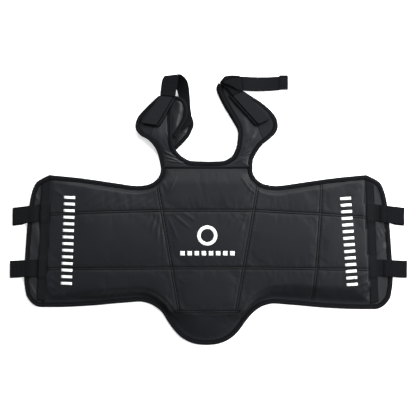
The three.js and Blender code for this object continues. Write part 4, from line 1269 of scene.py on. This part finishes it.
def slab(name, corners, low, thick, slot, node, margin, corner=0.12):
    """A flat sewn tab between four corners, its own corners a little rounded."""
    a, b, c, d = [np.array(p, float) for p in corners]
    centre = (a + b + c + d) / 4
    a, b, c, d = [p + (centre - p) / np.linalg.norm(centre - p) * margin for p in (a, b, c, d)]
    rows = []
    for v in np.linspace(-1, 1, 41):
        line = []
        for u in np.linspace(-1, 1, 19):
            pull = corner * (abs(u) ** 9 * abs(v) ** 9)
            s, t = (u * (1 - pull * 0.5) + 1) / 2, (v * (1 - pull * 0.35) + 1) / 2
            p = (a * (1 - s) + b * s) * (1 - t) + (c * (1 - s) + d * s) * t
            line.append((*p, low + thick))
        rows.append(line)
    rows = np.array(rows)
    rows[:, :, 2] += 0.15 * waves(rows[:, :, 0], rows[:, :, 1], 30, 2)
    made = piece(name, grid_mesh(name, rows), slot, node)
    thicken(made, thick)
    edge = made.modifiers.new("edge", "BEVEL")
    edge.width = 0.0004
    edge.segments = 2
    return made


# Inner edge of each pile patch, in the picture's pixels, from the wing's tip to the armhole
PATCH_EDGE = {
    "left": [(176, 90), (166, 112), (153.6, 128), (151.2, 136.5)],
    "right": [(236, 86), (249, 110), (257.9, 126.4), (262.4, 139)],
}


def loop_patch(wing, rows):
    """The pile patch that covers the outer part of a wing's tip, sewn on along its inner edge."""
    edge = traced(PATCH_EDGE[wing])[::-1]
    sign = -1 if wing == "left" else 1
    shares = np.linspace(0, 1, rows.shape[1])
    reach, steps, narrowest = 0.93, 240, 18
    fine = np.linspace(0, reach, steps)
    patch = []
    for row in rows:
        if row[:, 0].mean() * sign < 20:
            continue
        line = np.column_stack([np.interp(fine, shares, row[:, k]) for k in range(3)])
        beyond = line[:, 0] * sign > np.interp(line[:, 1], edge[:, 1], edge[:, 0]) * sign
        within = beyond & (line[:, 1] > edge[0, 1])
        out = np.nonzero(~within)[0]
        first = out[-1] + 1 if len(out) else 0
        if first > steps - narrowest or line[-1, 1] < edge[0, 1]:
            continue
        at = np.linspace(max(fine[first], 0.1), reach, 26)
        patch.append(np.column_stack([np.interp(at, fine, line[:, k]) for k in range(3)]))
    patch = np.array(patch)
    patch[:, :, 2] += 0.5
    name = f"{wing}_pile_patch"
    thicken(piece(name, grid_mesh(name, patch), "loop_pile", f"{wing}_loop_patch"), 0.6)
    seam = patch[:, 1] + [0, 0, 0.1]
    stitches(f"{name}_thread", [seam], wide=0.9)


def mark(name, patches, over):
    """Plain printed shapes that follow the surface below them."""
    surface = surface_of(over)
    made = []
    for patch in patches:
        places = np.zeros((*patch.shape[:2], 3))
        places[:, :, :2] = patch
        for i, row in enumerate(patch):
            for j, p in enumerate(row):
                places[i, j, 2] = dropped(surface, spot(*p))[0].z * 1000 + 0.12
        made.append(grid_mesh(name, places))
    bm = bmesh.new()
    for mesh in made:
        bm.from_mesh(mesh)
        bpy.data.meshes.remove(mesh)
    thicken(piece(name, mesh_from(name, bm), "white_print"), 0.1)


def block(px, py, wide, tall, turn=0.0):
    """A plain rectangle of points around a place in the picture, its sides in pixels."""
    u, v = np.meshgrid(np.linspace(-0.5, 0.5, 6) * wide, np.linspace(-0.5, 0.5, 6) * tall)
    c, s = math.cos(turn), math.sin(turn)
    x, y = seen(px + u * c - v * s, py + u * s + v * c)
    return np.stack([x, y], axis=2)


def bars(px, py, lean):
    """Plain bars down one side, each a little further across."""
    count, step = 14, 6.6
    return [block(px + lean * step * k, py + step * k, 11, 2.7, -lean) for k in range(count)]


def ring(px, py, outer, inner):
    """A plain ring of points around a place in the picture, its radii in pixels."""
    turn, reach = np.meshgrid(np.linspace(0, math.tau, 61), np.linspace(inner, outer, 5))
    x, y = seen(px + reach * np.cos(turn), py + reach * np.sin(turn))
    return np.stack([x, y], axis=2)


def along_seam(x, up, z):
    """A line across the chest at the yoke seam."""
    return at_height(at_height(x, up), z)


chest = chest_cover()
yoke, yoke_rows = yoke_cover()

seam_x = np.linspace(-99, 99, 40)

allowance = [along_seam(seam_x, SEAM_UP + off, 1.7) for off in (-4, 4)]
band("yoke_seam_allowance", *allowance, 0.8, "binding_tape")
# An unbroken near-black cord along the yoke seam: its stitching, and painted shade in the seam's
# groove.
yoke_seam = along_seam(seam_x * 0.97, SEAM_UP - 0.5, RIM_TOP + 0.15)
stitches("yoke_seam_thread_and_shade", [yoke_seam], long=4.4, gap=-1.4, wide=2.5, tall=1.2)

binding("hem_tape", at_height(hem_line(), RIM), 1, "hem_binding", 31)
binding("neck_tape", yoke_lines()[0], -1, "neck_binding", 33)
for side_name, sign in (("left", -1), ("right", 1)):
    binding(f"{side_name}_armhole_tape", armhole_line(side_name), sign,
            f"{side_name}_armhole_binding", 35 + sign)
    flap, flap_tape = side_flap(side_name)
    side_webbing(side_name)
    for strap_name in SIDE_STRAPS:
        side_strap(side_name, strap_name)
    loop_patch(side_name, yoke_rows)

# Folds of the back leaves, as for the body
LEAF_SHINE = [
    (179.8, 101, 178.6, 113, 6, 1.9), (178.6, 111, 174.4, 129, 6, 2.1),
    (187.2, 128.4, 175.8, 143.6, 2.4, 3.6), (180.6, 134.2, 175, 138.8, 1.8, 2.2),
]
lower_leaf, lower_tape = left_leaf("lower", RIM, LEAF_SHINE, 41)
upper_leaf, upper_tape = left_leaf("upper", RIM + STACK + ELASTIC + GAP, LEAF_SHINE, 43)
back_leaf, back_tape = right_leaf()

for wing in ("left", "right"):
    corners = [np.array(share_place(wing, *c)) for c in TAB_CORNERS[wing]]
    base = strap_level(wing) - ELASTIC / 2 - GAP - TAB_THICK
    offset = np.array([4.6 if wing == "left" else -4.6, -2.4])
    slab(f"{wing}_hook_backing", np.array(corners) + offset, base, TAB_THICK, "loop_pile",
         f"{wing}_hook_pad", 0.3)
    open_side = (1, 3, 2) if wing == "left" else (0, 2, 3)
    face = base + TAB_THICK + 1.2
    down = (corners[2] + corners[3] - corners[0] - corners[1]) * 0.025
    # Near-black cords at each tab: between face and backing along the open sides, painted shade in
    # the gap; on the wing just outside the backing, a painted shadow; and one more dark line along
    # the tab's top edge.
    between, under, top = [
        np.array([(*(corners[k] + shift), z) for k in ends])
        for ends, shift, z in ((open_side, offset * 0.28, base + TAB_THICK + 0.3),
                               (open_side, offset * 1.34, base + 0.5),
                               ((0, 1), down, face + ELASTIC))
    ]
    stitches(f"{wing}_tab_edge_shade_and_top_line", [between, top], long=3.0, gap=0.0, wide=2.8, tall=1.6)
    stitches(f"{wing}_tab_foot_painted_shadow", [under], long=4.6, gap=0.0, wide=4.4, tall=1.6)
    slab(f"{wing}_tab_face", corners, face, ELASTIC, "hook_tab", f"{wing}_hook_tab", 0.5)

shoulder_strap("left")
right_elastic, (last_a, last_b) = shoulder_strap("right")
end_x = last_a[-1][0] + GAP - 1.6
end_y = (last_a[-1][1] + last_b[-1][1]) / 2 + 2
end_half, end_long = 16.5, 20
end_corners = [(end_x + run, end_y + up) for run in (0, end_long) for up in (-end_half, end_half)]
slab("strap_end_fold", end_corners, 0.1, 3.9, "elastic", "right_strap_end_tab", 0.2, corner=0.05)
# Near-black cords on the right strap: along the crest, painted shade where the strap's underside
# shows behind its turn; across the strap at the twist, painted shade in the fold; and one more dark
# line across the strap near its folded end.
turned = [traced([(241.4, 77.4), (242.9, 89.8)]), traced([(279.7, 78.0), (279.9, 89.8)])]
crest = [traced([(221.6, 84.0), (223.6, 81.2), (226.6, 79.3), (231, 77.9), (239.6, 77.0)])]
stitches("strap_turn_shade_and_end_line", turned, over=right_elastic, long=2.6, gap=0.0, wide=2.6, tall=1.2)
stitches("strap_crest_painted_shade", crest, over=right_elastic, long=4.0, gap=0.0, wide=4.6, tall=1.0)

quilting = []
for line in quilt.values():
    path = even(line, 4)
    for shift in (-SEAM_HALF, SEAM_HALF):
        moved = path + sideways(path) * shift
        quilting.append(moved[inside(moved, rim)])
stitches("quilting_thread", quilting, over=chest, wide=1.0, gap=1.0, lift=0.1)

squares = [block(182.5 + 7.1 * k, 253.2, 4.4, 4.4) for k in range(8)]
mark("centre_marks", [ring(207.2, 235.5, 10, 6.6)] + squares, chest)
mark("left_marks", bars(69.8, 197.5, -0.037), chest)
mark("right_marks", bars(345.2, 198.5, 0.077), chest)


def studio():
    """White floor, an even surround, soft boxes beyond the neck and at both sides, camera."""
    bm = bmesh.new()
    bmesh.ops.create_grid(bm, x_segments=2, y_segments=2, size=4)
    floor = placed("floor", mesh_from("floor", bm))
    floor.location.z = -0.0002
    paper = bpy.data.materials.new("paper")
    paper.use_nodes = True
    shader = paper.node_tree.nodes["Principled BSDF"]
    shader.inputs["Base Color"].default_value = (0.97, 0.97, 0.97, 1)
    shader.inputs["Roughness"].default_value = 0.9
    shader.inputs["Specular IOR Level"].default_value = 0.1
    shader.inputs["Emission Color"].default_value = (1, 1, 1, 1)
    shader.inputs["Emission Strength"].default_value = 0.5
    floor.data.materials.append(paper)

    world = bpy.data.worlds.new("surround")
    world.use_nodes = True
    background = world.node_tree.nodes["Background"]
    background.inputs["Color"].default_value = (1, 1, 1, 1)
    background.inputs["Strength"].default_value = 0.11
    bpy.context.scene.world = world

    boxes = [
        ("top_box", (0.6, 2.0, 1.55), 3.6, 1.0, 129),
        ("left_box", (-2.2, 0.0, 1.6), 1.2, 1.2, 12),
        ("right_box", (2.0, 0.3, 1.7), 1.4, 1.4, 95),
    ]
    for name, at, wide, tall, power in boxes:
        data = bpy.data.lights.new(name, "AREA")
        data.shape = "RECTANGLE"
        data.size, data.size_y = wide, tall
        data.energy = power
        light = placed(name, data)
        light.location = at
        light.rotation_euler = (-Vector(at)).to_track_quat("-Z", "Y").to_euler()

    # Straight above, where the picture's width takes in this much of the floor
    sensor, height, field = 36, 6, 0.9298
    data = bpy.data.cameras.new("camera")
    data.sensor_width = sensor
    data.lens = sensor * height / field
    camera = placed("camera", data)
    camera.location = (-0.001, 0.004, height)
    bpy.context.scene.camera = camera
    bpy.context.scene.view_settings.view_transform = "Standard"


studio()
